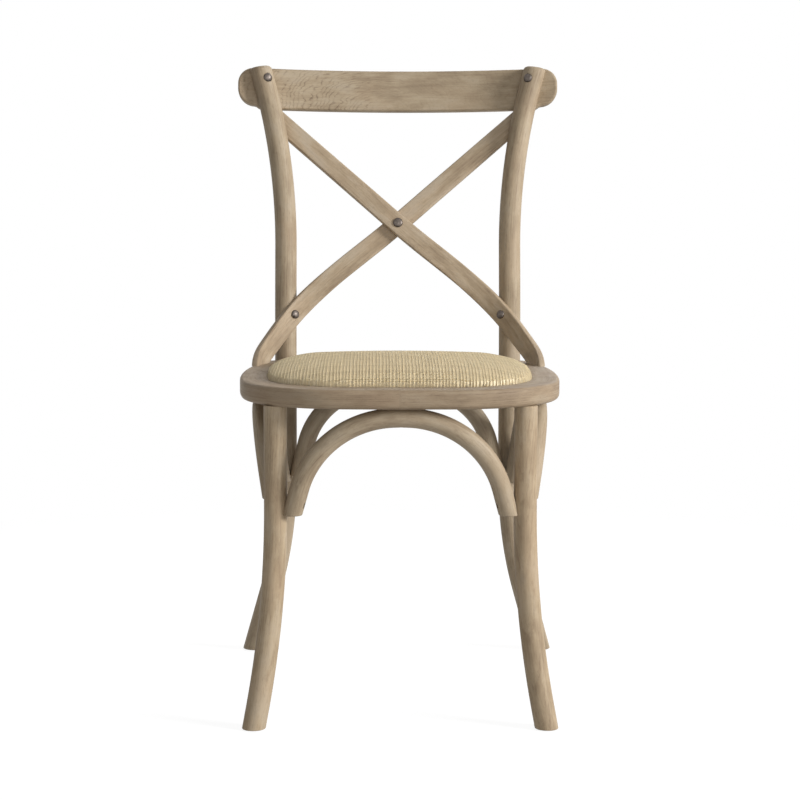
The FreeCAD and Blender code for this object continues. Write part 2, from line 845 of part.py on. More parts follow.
def arch_end_screw(arch_point, leg_point):
    """Through an arch's end into the leg, with its head sunk in a counterbore."""
    direction = Vector(leg_point.x - arch_point.x, leg_point.y - arch_point.y, 0).normalize()
    seat = arch_point - direction * (arch_diameter / 2 - arch_screw_recess)
    length = arch_diameter - arch_screw_recess - arch_cope + arch_screw_bite
    return plain_screw(seat, direction, length, arch_diameter / 2)


def arch_end_screws():
    """One at each end of the four arches."""
    pairs = []
    side_path = side_arch_path(1)
    joints = [
        (front_arch_path()[::-1], FRONT_LEG, arch_end_height),
        (rear_arch_path()[::-1], POST, arch_end_height),
        (side_path, FRONT_LEG, side_arch_front_end_height),
        (side_path[::-1], POST, side_arch_rear_end_height),
    ]
    for path, leg, end_height in joints:
        height = end_height + arch_screw_above_end
        arch_point = point_at_height(path, height)
        leg_point = point_at_height(leg, height)
        for side in (-1, 1):
            pairs.append(arch_end_screw(sided(arch_point, side), sided(leg_point, side)))
    return pairs


def arch_top_screws():
    """From below through the top of each arch into the seat ring."""
    pairs = []
    height = arch_top - arch_diameter / 2 + arch_screw_recess
    side_path = side_arch_path(1)
    middle = (side_path[0] + side_path[-1]) * 0.5
    side_top_x = seat_width / 2 - side_arch_top_inset
    seats = [
        Vector(0, seat_front + front_arch_top_depth, height),
        Vector(0, seat_front + rear_arch_top_depth, height),
        Vector(side_top_x, middle.y, height),
        Vector(-side_top_x, middle.y, height),
    ]
    length = arch_diameter - arch_screw_recess + arch_top_screw_bite
    for seat in seats:
        pairs.append(plain_screw(seat, UP, length, arch_screw_recess))
    return pairs


def pad_screws():
    """From below through the ring's ledge into the board."""
    pairs = []
    inset = ring_margin + ledge_width / 2
    length = ledge_top - ring_bottom + cover_thickness + pad_screw_bite
    for side in (-1, 1):
        front = Vector(side * front_pad_screw_spread / 2, seat_front + inset, ring_bottom)
        rear = Vector(side * rear_pad_screw_spread / 2, seat_back - inset, ring_bottom)
        pairs.append(plain_screw(front, UP, length, screw_head_height))
        pairs.append(plain_screw(rear, UP, length, screw_head_height))
    return pairs


def post_bolt_set(side):
    """Bolt, washer and barrel nut that hold a post to the seat ring, each with its room."""
    play = 2 * screw_clearance
    height = ring_bottom + ring_thickness / 2
    forward = Vector(0, -1, 0)
    seat = Vector(side * post_x, post_y + post_diameter / 2 - bolt_recess, height)
    nut_y = seat_back - barrel_nut_inset
    length = seat.y - nut_y + barrel_nut_diameter / 2 + bolt_past_nut
    shank = prism(shank_sides, bolt_diameter, -length, washer_thickness)
    head_top = washer_thickness + bolt_head_height
    head = prism(bolt_head_sides, bolt_head_diameter, washer_thickness, head_top)
    bore = prism(shank_sides, bolt_diameter + play, -length - screw_clearance, washer_thickness)
    recess = prism(head_sides, washer_diameter + play, 0, 2 * bolt_recess)
    washer = prism(head_sides, washer_diameter, 0, washer_thickness).cut(bore)
    room = aimed(bore.fuse(recess), seat, forward)
    nut_place = Vector(seat.x, nut_y, height)
    half_nut = barrel_nut_length / 2
    nut = prism(head_sides, barrel_nut_diameter, -half_nut, half_nut)
    nut.translate(nut_place)
    nut_room = prism(head_sides, barrel_nut_diameter + play, ring_bottom - height, half_nut)
    nut_room.translate(nut_place)
    return ((aimed(head.fuse(shank), seat, forward), room),
            (aimed(washer, seat, forward), None),
            (nut.cut(room), nut_room))


def make_glide(foot):
    """A disc with a pin that is driven up into the foot, and the room for the pin."""
    top = glide_thickness + glide_pin_length
    disc = prism(glide_sides, glide_diameter, 0, glide_thickness)
    pin = prism(shank_sides, glide_pin_diameter, 0, top)
    room = prism(shank_sides, glide_pin_diameter + 2 * screw_clearance, 0, top + screw_clearance)
    place = Vector(foot.x, foot.y, 0)
    glide = disc.fuse(pin)
    glide.translate(place)
    room.translate(place)
    return glide, room


# Assembly
def make_fasteners(offset):
    """Each fastener node as a list of (solid, room) pairs."""
    centre_screw, centre_nut = centre_fixing(offset)
    bolts, washers, nuts = zip(*[post_bolt_set(side) for side in (-1, 1)])
    groups = {
        "rail_screws": rail_screws(),
        "brace_lower_screws": brace_lower_screws(),
        "brace_upper_screws": brace_upper_screws(),
        "brace_foot_screws": brace_foot_screws(),
        "centre_screw": [centre_screw],
        "centre_nut": [centre_nut],
        "arch_end_screws": arch_end_screws(),
        "arch_top_screws": arch_top_screws(),
        "pad_screws": pad_screws(),
        "post_bolts": list(bolts),
        "post_washers": list(washers),
        "post_nuts": list(nuts),
    }
    for end, path in (("front", FRONT_LEG), ("rear", POST)):
        foot = point_at_height(path, glide_thickness)
        for name, side in (("left", -1), ("right", 1)):
            groups["foot_glide_" + end + "_" + name] = [make_glide(sided(foot, side))]
    return groups


def make_members():
    """Every wooden and soft piece, before it is drilled."""
    offset = (brace_thickness + brace_crossing_gap) / 2
    braces = {
        "cross_brace_front": make_brace(1, -offset),
        "cross_brace_rear": make_brace(-1, offset),
    }
    housings = [make_ring_blank(), in_rail_frame(make_rail_blank())] + list(braces.values())
    members = {"seat_ring": make_ring(), "top_rail": make_rail()}
    members.update(braces)
    legs = []
    for name, side in (("left", -1), ("right", 1)):
        post = make_post_blank(side).cut(housings)
        leg = make_front_leg(side)
        members["rear_post_" + name] = post
        members["front_leg_" + name] = leg
        legs.extend([post, leg])
    members["front_arch"] = make_cross_arch(front_arch_path(), legs)
    members["rear_arch"] = make_cross_arch(rear_arch_path(), legs)
    members["side_arch_left"] = make_side_arch(-1, legs)
    members["side_arch_right"] = make_side_arch(1, legs)
    board, foam, cover = make_pad()
    members["seat_board"] = board
    members["seat_foam"] = foam
    members["rattan_cover"] = cover
    members["underside_cloth"] = make_underside_cloth()
    return members, offset


def build():
    """The whole chair as named nodes."""
    members, offset = make_members()
    groups = make_fasteners(offset)
    rooms = [room for pairs in groups.values() for _, room in pairs if room]
    for name, member in members.items():
        touching = [room for room in rooms if member.BoundBox.intersect(room.BoundBox)]
        if touching:
            members[name] = member.cut(touching)
    for name, pairs in groups.items():
        members[name] = Part.makeCompound([solid for solid, _ in pairs])
    return members


os.makedirs("parts", exist_ok=True)
for node, shape in build().items():
    shape.exportStep("parts/" + node + ".step")
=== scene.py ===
import math
import random

import bmesh
import bpy
import numpy as np
from bpy.props import FloatProperty, FloatVectorProperty, IntProperty, PointerProperty
from mathutils import Matrix, Vector
from mathutils.bvhtree import BVHTree


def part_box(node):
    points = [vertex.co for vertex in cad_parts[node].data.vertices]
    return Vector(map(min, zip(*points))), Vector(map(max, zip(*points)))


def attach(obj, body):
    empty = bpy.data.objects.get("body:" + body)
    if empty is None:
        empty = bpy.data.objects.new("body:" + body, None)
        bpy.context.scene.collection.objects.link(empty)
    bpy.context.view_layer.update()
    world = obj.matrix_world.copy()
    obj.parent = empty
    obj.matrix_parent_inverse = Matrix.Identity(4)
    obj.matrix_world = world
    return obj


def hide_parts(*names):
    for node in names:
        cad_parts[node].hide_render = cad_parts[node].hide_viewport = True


bl_info = {
    "name": "Cross Back Chair",
    "version": (1, 0, 0),
    "blender": (4, 5, 0),
    "location": "View3D > Sidebar > Chair",
    "description": "Limed oak, woven rattan and dark screws for a cross back dining chair",
    "category": "Object",
}

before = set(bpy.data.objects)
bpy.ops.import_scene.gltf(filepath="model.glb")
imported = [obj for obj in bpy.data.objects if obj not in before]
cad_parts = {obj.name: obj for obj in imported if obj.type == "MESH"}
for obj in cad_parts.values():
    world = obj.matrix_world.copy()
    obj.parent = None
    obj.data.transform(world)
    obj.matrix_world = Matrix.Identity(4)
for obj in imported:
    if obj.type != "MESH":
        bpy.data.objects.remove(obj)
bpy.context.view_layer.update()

# Places that the frame gives. The chair faces -Y and is symmetric about X = 0.
MM = 0.001
RIGHT = Vector((1, 0, 0))
BACK = Vector((0, 1, 0))
UP = Vector((0, 0, 1))
ring_low, ring_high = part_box("seat_ring")
post_low, post_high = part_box("rear_post_right")
SEAT_FRONT = ring_low.y
RING_BOTTOM = ring_low.z
SEAT_HALF_WIDTH, SEAT_BACK, SEAT_TOP = ring_high
HALF_WIDTH, HALF_DEPTH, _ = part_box("top_rail")[1]
ARCH_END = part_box("front_arch")[0].z
SIDE_ARCH_REAR_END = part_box("side_arch_right")[0].z
COVER_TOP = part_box("rattan_cover")[1].z
CLOTH_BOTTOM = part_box("underside_cloth")[0].z
BOARD_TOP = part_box("seat_board")[1].z
POST_TOP = post_high.z
FOOT_BOTTOM = post_low.z - 2 * MM


# Settings
def length_setting(name, default, description):
    return FloatProperty(name=name, description=description, default=default, unit="LENGTH")


def angle_setting(name, degrees, description):
    return FloatProperty(name=name, description=description, default=math.radians(degrees),
                         subtype="ANGLE")


def colour_setting(name, default, description):
    return FloatVectorProperty(name=name, description=description, default=default,
                               subtype="COLOR", size=3, min=0, max=1)


class ChairSizes(bpy.types.PropertyGroup):
    """Sizes of the members, as the frame has them, and of the weave"""

    post_x: length_setting("Post Place", 166.5 * MM, "A rear leg's distance from the middle")
    post_y: length_setting("Post Depth Place", 162.5 * MM, "A rear leg's place along the depth")
    post_diameter: length_setting("Post Diameter", 32 * MM, "Thickness of rear legs and posts")
    back_lean: angle_setting("Back Lean", 9.94017, "Lean of the posts above the seat")
    leg_x: length_setting("Front Leg Place", 165.5 * MM, "A front leg's distance from the middle")
    leg_y: length_setting("Front Leg Depth Place", -214.5 * MM, "A front leg's place in depth")
    leg_diameter: length_setting("Front Leg Diameter", 31 * MM, "Thickness of the front legs")
    arch_diameter: length_setting("Arch Diameter", 26 * MM, "Thickness of the arches")
    rail_width: length_setting("Rail Width", 61 * MM, "Height of the top rail's face")
    rail_thickness: length_setting("Rail Thickness", 18 * MM, "Thickness of the top rail")
    rail_bow: length_setting("Rail Bow", 28 * MM, "How far the rail's middle is behind its ends")
    brace_thickness: length_setting("Strip Thickness", 10 * MM, "Thickness of the strips")
    brace_top_width: length_setting("Strip Top Width", 27.5 * MM, "Strip's width at the rail")
    brace_foot_width: length_setting("Strip Foot Width", 29.5 * MM, "Strip's width at the seat")
    strand_pitch: length_setting("Strand Pitch", 4.4 * MM, "Distance between rattan strands")
    strand_width: length_setting("Strand Width", 4.05 * MM, "Width of one strand")
    strand_thickness: length_setting("Strand Thickness", 0.4 * MM, "Thickness of one strand")
    staple_spacing: length_setting("Staple Spacing", 32 * MM, "Distance between the staples")


class ChairColours(bpy.types.PropertyGroup):
    """Colours of the finishes"""

    oak_light: colour_setting("Oak Light", (0.462, 0.366, 0.246), "Pale early wood")
    oak_dark: colour_setting("Oak Dark", (0.17, 0.115, 0.07), "Late wood and dark streaks")
    lime_wash: colour_setting("Lime Wash", (0.44, 0.378, 0.3), "Grey residue of the liming")
    rattan_light: colour_setting("Rattan Light", (0.81, 0.7, 0.485), "Pale strands")
    rattan_dark: colour_setting("Rattan Dark", (0.66, 0.555, 0.36), "Dark strands")
    screw_metal: colour_setting("Screw Metal", (0.11, 0.092, 0.08), "Patina of the domed screws")
    floor_colour: colour_setting("Floor", (0.5, 0.5, 0.5), "Plain pale floor")


class StageSettings(bpy.types.PropertyGroup):
    """Camera and lamps"""

    camera_distance: length_setting("Camera Distance", 2.809, "Distance in front of the seat")
    camera_height: length_setting("Camera Height", 0.754, "Height above the floor")
    camera_aside: length_setting("Camera Aside", 0.035, "Distance to the left of the middle")
    camera_pitch: angle_setting("Camera Pitch", 6.33, "How far the camera looks down")
    camera_yaw: angle_setting("Camera Yaw", 0.68, "How far the camera looks to the right")
    camera_roll: angle_setting("Camera Roll", 0.12, "How far the camera leans to its left")
    focal_pixels: IntProperty(
        name="Focal Length", description="Focal length in pixels of the 800 pixel picture",
        default=2187, subtype="PIXEL")
    world_strength: FloatProperty(
        name="Ambient Light", description="Strength of the even light all round", default=0.2)
    key_power: FloatProperty(
        name="Key Power", description="Power of the large lamp at the front right",
        default=475.0, unit="POWER")
    fill_power: FloatProperty(
        name="Fill Power", description="Power of each of the two weak lamps", default=28.0,
        unit="POWER")


def sizes():
    return bpy.context.scene.chair_sizes


def colours():
    return bpy.context.scene.chair_colours


# Points and meshes
MERGE_DISTANCE = 1e-7
CUT_TOLERANCE = 1e-6
GRAIN_BATCH = 2000
BEND_SPACING = 6 * MM
STRAIGHT_SPACING = 3


def sided(point, side):
    """A point of the right half, or its mirror twin for a side of -1."""
    return Vector((point[0] * side, point[1], point[2]))


def both_sides(places, sides=(1, -1)):
    """Right-hand (point, direction) pairs and their mirror twins, or those of one side."""
    return [(sided(point, side), sided(direction, side))
            for side in sides for point, direction in places]


def blend(low, high, share):
    return low + (high - low) * share


def smooth_step(share):
    share = min(max(share, 0.0), 1.0)
    return share * share * (3 - 2 * share)


def quarter_turn(steps):
    """Angles from nothing to a right angle."""
    return [math.pi / 2 * i / steps for i in range(steps + 1)]


def circle(centre, first, second, radius, sides):
    """Points round a centre, from the first cross direction towards the second."""
    turns = [2 * math.pi * i / sides for i in range(sides)]
    return [centre + (first * math.cos(turn) + second * math.sin(turn)) * radius
            for turn in turns]


def running_lengths(points):
    """Length of a line up to each of its points."""
    lengths = [0.0]
    for before, after in zip(points, points[1:]):
        lengths.append(lengths[-1] + (after - before).length)
    return lengths


def strip_faces(ring_count, sides):
    """Quads between closed rings of points that follow each other."""
    faces = []
    for first in range(0, (ring_count - 1) * sides, sides):
        for i in range(sides):
            j = (i + 1) % sides
            faces.append((first + i, first + j, first + sides + j, first + sides + i))
    return faces


def close_with_fan(points, faces, first, sides, tip):
    """Closes the ring that starts at the first point with triangles to a tip."""
    points.append(tip)
    for i in range(sides):
        faces.append((first + i, first + (i + 1) % sides, len(points) - 1))


def close_flat(faces, count, sides):
    """Closes the first and the last ring of a tube of points with one face each."""
    faces.append(tuple(range(sides)))
    faces.append(tuple(range(count - sides, count)))


def link_object(name, data):
    piece = bpy.data.objects.new(name, data)
    bpy.context.scene.collection.objects.link(piece)
    return piece


def link_mesh(name, points, edges=(), faces=()):
    mesh = bpy.data.meshes.new(name)
    mesh.from_pydata([tuple(point) for point in points], edges, faces)
    return link_object(name, mesh)


def keep_values(piece, name, values, kind="FLOAT_VECTOR"):
    """Keeps a number or a vector for each point of a piece's mesh."""
    attribute = piece.data.attributes.new(name, kind, "POINT")
    field = "vector" if kind == "FLOAT_VECTOR" else "value"
    attribute.data.foreach_set(field, np.array(values, dtype=np.float32).ravel())


def new_piece(name, points, faces, grain=None, sharp_degrees=35):
    """A shaded piece whose normals face outward, with its grain if that is given."""
    piece = link_mesh(name, points, faces=faces)
    if grain is not None:
        keep_values(piece, "grain", grain)
    work = bmesh.new()
    work.from_mesh(piece.data)
    bmesh.ops.remove_doubles(work, verts=work.verts, dist=MERGE_DISTANCE)
    bmesh.ops.recalc_face_normals(work, faces=work.faces)
    work.to_mesh(piece.data)
    work.free()
    shade(piece, sharp_degrees)
    return piece


def shade(piece, sharp_degrees=35):
    piece.data.shade_smooth()
    piece.data.set_sharp_from_angle(angle=math.radians(sharp_degrees))


def apply_modifiers(piece):
    """Turns a piece's evaluated shape into its plain mesh."""
    bpy.context.view_layer.update()
    graph = bpy.context.evaluated_depsgraph_get()
    mesh = bpy.data.meshes.new_from_object(piece.evaluated_get(graph))
    old = piece.data
    piece.modifiers.clear()
    piece.data = mesh
    mesh.name = old.name
    bpy.data.meshes.remove(old)


def drill(piece, places, sides=40):
    """Cuts round holes into a piece; each place is (point, direction, diameter, depth)."""
    points = []
    faces = []
    for point, direction, diameter, depth in places:
        across = direction.orthogonal().normalized()
        along = direction.cross(across).normalized()
        first = len(points)
        for reach in (-depth, depth):
            points += circle(point + direction * reach, across, along, diameter / 2, sides)
        hole = strip_faces(2, sides)
        close_flat(hole, 2 * sides, sides)
        faces += [tuple(first + i for i in face) for face in hole]
    cutter = new_piece("drill", points, faces)
    modifier = piece.modifiers.new("drill", "BOOLEAN")
    modifier.operation = "DIFFERENCE"
    modifier.solver = "EXACT"
    modifier.object = cutter
    apply_modifiers(piece)
    bpy.data.objects.remove(cutter)
    shade(piece)


def finish_piece(piece, material, slot, *nodes):
    """Gives a finished piece its material and its body, and hides the nodes it stands for; the
    slot is not used.
    """
    piece.data.materials.clear()
    piece.data.materials.append(material)
    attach(piece, "root")
    if nodes:
        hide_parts(*nodes)


# Centre lines of bent members
def add_straight(points, end, spacing):
    start = points[-1]
    count = max(1, math.ceil((end - start).length / spacing))
    points += [start.lerp(end, i / count) for i in range(1, count + 1)]


def bent_line(corners, radii, spacing=BEND_SPACING):
    """Points of a line whose corners are rounded by tangent arcs, closely spaced in the arcs."""
    points = [corners[0]]
    for before, corner, after, radius in zip(corners, corners[1:], corners[2:], radii):
        back = (before - corner).normalized()
        ahead = (after - corner).normalized()
        half_angle = back.angle(ahead) / 2
        centre = corner + (back + ahead).normalized() * (radius / math.sin(half_angle))
        start = corner + back * (radius / math.tan(half_angle))
        add_straight(points, start, STRAIGHT_SPACING * spacing)
        turn = math.pi - 2 * half_angle
        count = max(2, math.ceil(radius * turn / spacing))
        axis = ahead.cross(back)
        for i in range(1, count + 1):
            swing = Matrix.Rotation(turn * i / count, 3, axis)
            points.append(centre + swing @ (start - centre))
    add_straight(points, corners[-1], STRAIGHT_SPACING * spacing)
    return points


def line_frames(points, first_normal=None):
    """Tangent and two cross directions at each point of a line, without twist."""
    frames = []
    normal = first_normal
    for i in range(len(points)):
        before = points[max(i - 1, 0)]
        after = points[min(i + 1, len(points) - 1)]
        tangent = (after - before).normalized()
        if normal is None:
            normal = tangent.orthogonal()
        normal = (normal - tangent * normal.dot(tangent)).normalized()
        frames.append((tangent, normal, tangent.cross(normal)))
    return frames


def point_at_height(points, z):
    """The first place where a line passes a height."""
    for start, end in zip(points, points[1:]):
        if min(start.z, end.z) <= z <= max(start.z, end.z) and start.z != end.z:
            return start.lerp(end, (z - start.z) / (end.z - start.z))
    raise ValueError("the line doesn't reach this height")


def store_grain(piece, points, offset, first_normal=None):
    """Keeps, for each vertex, its place across and along the member's line."""
    line = np.array([tuple(point) for point in points])
    axes = np.array([[tuple(normal), tuple(across), tuple(tangent)]
                     for tangent, normal, across in line_frames(points, first_normal)])
    lengths = np.array(running_lengths(points))
    places = np.empty(len(piece.data.vertices) * 3)
    piece.data.vertices.foreach_get("co", places)
    places = places.reshape(-1, 3)
    batches = []
    for batch in np.array_split(places, math.ceil(len(places) / GRAIN_BATCH)):
        gaps = ((batch[:, None, :] - line[None, :, :]) ** 2).sum(2)
        nearest = gaps.argmin(1)
        local = np.einsum("nij,nj->ni", axes[nearest], batch - line[nearest])
        local[:, 2] += lengths[nearest]
        batches.append(local)
    keep_values(piece, "grain", np.concatenate(batches) + np.array(offset))


# Round members. An end is (a point in its plane, the way it faces, the rounding of its rim).
ROUNDING_STEPS = 5
END_CAP_SHARES = (0.6, 0.25)
END_REACH = 30 * MM
END_CLEARANCE = 1 * MM
FOOT_ROUNDING = 1.2 * MM
POST_TOP_ROUNDING = 5 * MM
ARCH_END_ROUNDING = 1.4 * MM


def level_end(z, facing, rounding):
    return Vector((0, 0, z)), facing, rounding


def end_rings(ring, centre, tangent, end):
    """Rings that end a round member on a plane with a rounded rim, from the body out."""
    base, facing, rounding = end
    along = tangent.dot(facing)
    rings = []
    for angle in quarter_turn(ROUNDING_STEPS):
        level = base + facing * rounding * (math.sin(angle) - 1)
        middle = centre + tangent * ((level - centre).dot(facing) / along)
        rim = []
        for point in ring:
            placed = point + tangent * ((level - point).dot(facing) / along)
            inward = (middle - placed).normalized()
            rim.append(placed + inward * rounding * (1 - math.cos(angle)))
        rings.append(rim)
    return rings + [[middle.lerp(point, share) for point in rim] for share in END_CAP_SHARES]


def make_rod(name, line, diameter, start, end, sides=48):
    """A round member along a line, from its start to its end."""
    body = [(circle(point, normal, across, diameter / 2, sides), point, tangent)
            for point, (tangent, normal, across) in zip(line, line_frames(line))]

    def inside(station, limit):
        base, facing, rounding = limit
        return max((point - base).dot(facing) for point in station[0]) < -rounding - END_CLEARANCE

    first = next(i for i in range(len(body)) if inside(body[i], start))
    last = next(i for i in range(len(body) - 1, 0, -1) if inside(body[i], end))
    rings = end_rings(*body[first], start)[::-1]
    rings += [station[0] for station in body[first:last + 1]]
    rings += end_rings(*body[last], end)
    points = [point for ring in rings for point in ring]
    faces = strip_faces(len(rings), sides)
    for base in (0, (len(rings) - 1) * sides):
        centre = sum(points[base:base + sides], Vector((0, 0, 0))) / sides
        close_with_fan(points, faces, base, sides, centre)
    return new_piece(name, points, faces)


# Legs and posts
REAR_SPLAY_HEIGHT = 192 * MM
REAR_SPLAY_RADIUS = 420 * MM
REAR_SPLAY_SIDE = 54 * MM
REAR_SPLAY_BACK = 72 * MM
BACK_BEND_HEIGHT = 509 * MM
BACK_BEND_RADIUS = 900 * MM
FLARE_HEIGHT = 752 * MM
FLARE_RADIUS = 950 * MM
FLARE_OUT = 40 * MM
FRONT_SPLAY_HEIGHT = 160 * MM
FRONT_SPLAY_RADIUS = 1050 * MM
FRONT_SPLAY_SIDE = 29 * MM
FRONT_SPLAY_FORWARD = 30 * MM
LEG_TOP = RING_BOTTOM + 0.2 * MM


def extended(inner, outer):
    return outer + (outer - inner).normalized() * END_REACH


def post_line(side):
    """Centre line of a rear leg and post, from the floor up."""
    s = sizes()
    slope = math.tan(s.back_lean)
    upper = POST_TOP - FLARE_HEIGHT
    splay = Vector((s.post_x, s.post_y, REAR_SPLAY_HEIGHT))
    foot = Vector((s.post_x + REAR_SPLAY_SIDE, s.post_y + REAR_SPLAY_BACK, 0))
    bend = Vector((s.post_x, s.post_y, BACK_BEND_HEIGHT))
    flare_y = s.post_y + (FLARE_HEIGHT - BACK_BEND_HEIGHT) * slope
    flare = Vector((s.post_x, flare_y, FLARE_HEIGHT))
    top = flare + Vector((FLARE_OUT, upper * slope, upper))
    corners = [extended(splay, foot), splay, bend, flare, extended(flare, top)]
    return bent_line([sided(corner, side) for corner in corners],
                     [REAR_SPLAY_RADIUS, BACK_BEND_RADIUS, FLARE_RADIUS])


def post_top_end(line):
    """The rounded top of a post, cut on a plane half way between level and square to it."""
    facing = ((line[-1] - line[-2]).normalized() + UP).normalized()
    tilt = math.sqrt(1 - facing.z ** 2)
    drop = ((sizes().post_diameter / 2 - POST_TOP_ROUNDING) * tilt
            + POST_TOP_ROUNDING * (1 - facing.z))
    return point_at_height(line, POST_TOP - drop), facing, POST_TOP_ROUNDING


def front_leg_line(side):
    """Centre line of a front leg, from the floor up into the seat ring."""
    s = sizes()
    corner = Vector((s.leg_x, s.leg_y, FRONT_SPLAY_HEIGHT))
    foot = Vector((s.leg_x + FRONT_SPLAY_SIDE, s.leg_y - FRONT_SPLAY_FORWARD, 0))
    top = Vector((s.leg_x, s.leg_y, LEG_TOP)) + UP * END_REACH
    return bent_line([sided(point, side) for point in (extended(corner, foot), corner, top)],
                     [FRONT_SPLAY_RADIUS])


# Arches: depth behind the seat's front or inset from its side, how far the ends stand off the
# middle of the legs, lean of the ends in degrees, radius of the bends
FRONT_ARCH = (27 * MM, 5 * MM, 15.5, 134 * MM)
REAR_ARCH = (399 * MM, 14 * MM, 14.5, 110 * MM)
SIDE_ARCH = (31 * MM, 5.5 * MM, 12.0, 112 * MM)
SIDE_ARCH_ENDS = (301 * MM, SIDE_ARCH_REAR_END)
ARCH_COPE = 6 * MM
ARCH_SPACING = 4 * MM


def arch_top():
    return RING_BOTTOM - sizes().arch_diameter / 2


def coped_gap(leg_diameter, aside):
    """Distance along an arch's line from a leg's centre to the arch's coped end."""
    gap = (leg_diameter + sizes().arch_diameter) / 2 - ARCH_COPE
    return math.sqrt(gap ** 2 - aside ** 2)


def cross_arch_line(leg, leg_diameter, top_depth, forward, lean, radius):
    """Centre line of the front or the rear arch, from its left foot to its right."""
    end = leg + Vector((-coped_gap(leg_diameter, forward), -forward, 0))
    shoulder_x = end.x - (arch_top() - end.z) * math.tan(math.radians(lean))
    shoulder = Vector((shoulder_x, SEAT_FRONT + top_depth, arch_top()))
    below = extended(shoulder, end)
    corners = [sided(below, -1), sided(shoulder, -1), shoulder, below]
    return bent_line(corners, [radius, radius], ARCH_SPACING)


def front_arch_line():
    leg = point_at_height(front_leg_line(1), ARCH_END)
    return cross_arch_line(leg, sizes().leg_diameter, *FRONT_ARCH)


def rear_arch_line():
    leg = point_at_height(post_line(1), ARCH_END)
    return cross_arch_line(leg, sizes().post_diameter, *REAR_ARCH)


def side_arch_line(side):
    """Centre line of a side arch, from the front leg back to the rear leg."""
    s = sizes()
    top_inset, outward, lean, radius = SIDE_ARCH
    top_x = SEAT_HALF_WIDTH - top_inset
    lean = math.tan(math.radians(lean))
    corners = []
    for line, diameter, end_z, back in ((front_leg_line(1), s.leg_diameter, SIDE_ARCH_ENDS[0], 1),
                                        (post_line(1), s.post_diameter, SIDE_ARCH_ENDS[1], -1)):
        leg = point_at_height(line, end_z)
        end = leg + Vector((outward, back * coped_gap(diameter, outward), 0))
        shoulder_y = end.y + back * (arch_top() - end.z) * lean
        shoulder = Vector((top_x, shoulder_y, arch_top()))
        corners += [extended(shoulder, end), shoulder][::back]
    return bent_line([sided(corner, side) for corner in corners], [radius, radius], ARCH_SPACING)


# Top rail
RAIL_BELOW_POST_TOP = 2.5 * MM
EAR_RADIUS = 24 * MM
EAR_STEP = 4.5 * MM
EAR_STEP_CLEARANCE = 10 * MM
RAIL_BEVEL = 2.5 * MM
RAIL_ROUNDING = 3.5 * MM
RAIL_COLUMNS = 60
RAIL_ROWS = 8
EAR_TOP_STEPS = 14
EAR_LOW_STEPS = 10
EAR_STEP_STEPS = 4
RAIL_GRAIN_START = (0.31, 0.07, 0.4)


def rail_radius():
    bow = sizes().rail_bow
    return (HALF_WIDTH ** 2 + bow ** 2) / (2 * bow)


def lean_turn():
    return Matrix.Rotation(-sizes().back_lean, 3, "X")


def rail_middle():
    """Centre of the rail, which ends at the overall depth and below the posts' tops."""
    s = sizes()
    lean = s.back_lean
    half_thickness = s.rail_thickness / 2
    rear_reach = half_thickness * math.cos(lean) + (s.rail_width / 2 - RAIL_BEVEL) * math.sin(lean)
    end_drop = rail_radius() - math.sqrt(rail_radius() ** 2 - (HALF_WIDTH - EAR_RADIUS) ** 2)
    end_rise = (end_drop + half_thickness) * math.sin(lean)
    z = POST_TOP - RAIL_BELOW_POST_TOP - s.rail_width / 2 * math.cos(lean) - end_rise
    return Vector((0, HALF_DEPTH - rear_reach, z))


def rail_point(x, depth, z):
    """From the rail's own frame to the chair's: depth runs back through its thickness."""
    radius = rail_radius()
    y = math.sqrt((radius + depth) ** 2 - x ** 2) - radius
    return rail_middle() + lean_turn() @ Vector((x, y, z))


def arc_points(centre, radius, start, end, count):
    """Flat points on an arc between two angles in degrees."""
    turns = [math.radians(blend(start, end, i / count)) for i in range(count + 1)]
    return [(centre[0] + radius * math.cos(turn), centre[1] + radius * math.sin(turn))
            for turn in turns]


def rail_edge_chains(inset):
    """Top and bottom edges (x, z) of the rail from its right nose to its left one."""
    s = sizes()
    top = s.rail_width / 2 - inset
    low = -top
    ear_low = low + EAR_STEP
    end = HALF_WIDTH - inset
    radius = EAR_RADIUS - inset
    ear_x = end - radius
    flare_share = (rail_middle().z - FLARE_HEIGHT) / (POST_TOP - FLARE_HEIGHT)
    step_x = s.post_x + FLARE_OUT * flare_share + EAR_STEP_CLEARANCE
    nose = [(end, (top + ear_low) / 2)]

    def to_middle(x, z):
        return [(x * (1 - i / RAIL_COLUMNS), z) for i in range(1, RAIL_COLUMNS + 1)]

    top_right = (nose + arc_points((ear_x, top - radius), radius, 0, 90, EAR_TOP_STEPS)
                 + to_middle(ear_x, top))
    step = [i / EAR_STEP_STEPS for i in range(1, EAR_STEP_STEPS + 1)]
    low_right = (nose + arc_points((ear_x, ear_low + radius), radius, 0, -90, EAR_LOW_STEPS)
                 + [(blend(ear_x, step_x, i), blend(ear_low, low, smooth_step(i))) for i in step]
                 + to_middle(step_x, low))
    return [right + [(-x, z) for x, z in reversed(right[:-1])] for right in (top_right, low_right)]


def rail_levels():
    """Insets and depths of the rail's skin, from its front face to its back face."""
    half = sizes().rail_thickness / 2
    angles = quarter_turn(ROUNDING_STEPS)
    return [(RAIL_ROUNDING * (1 - math.cos(angle)),
             side * (half - RAIL_ROUNDING * (1 - math.sin(angle))))
            for side, turns in ((-1, angles[::-1]), (1, angles)) for angle in turns]


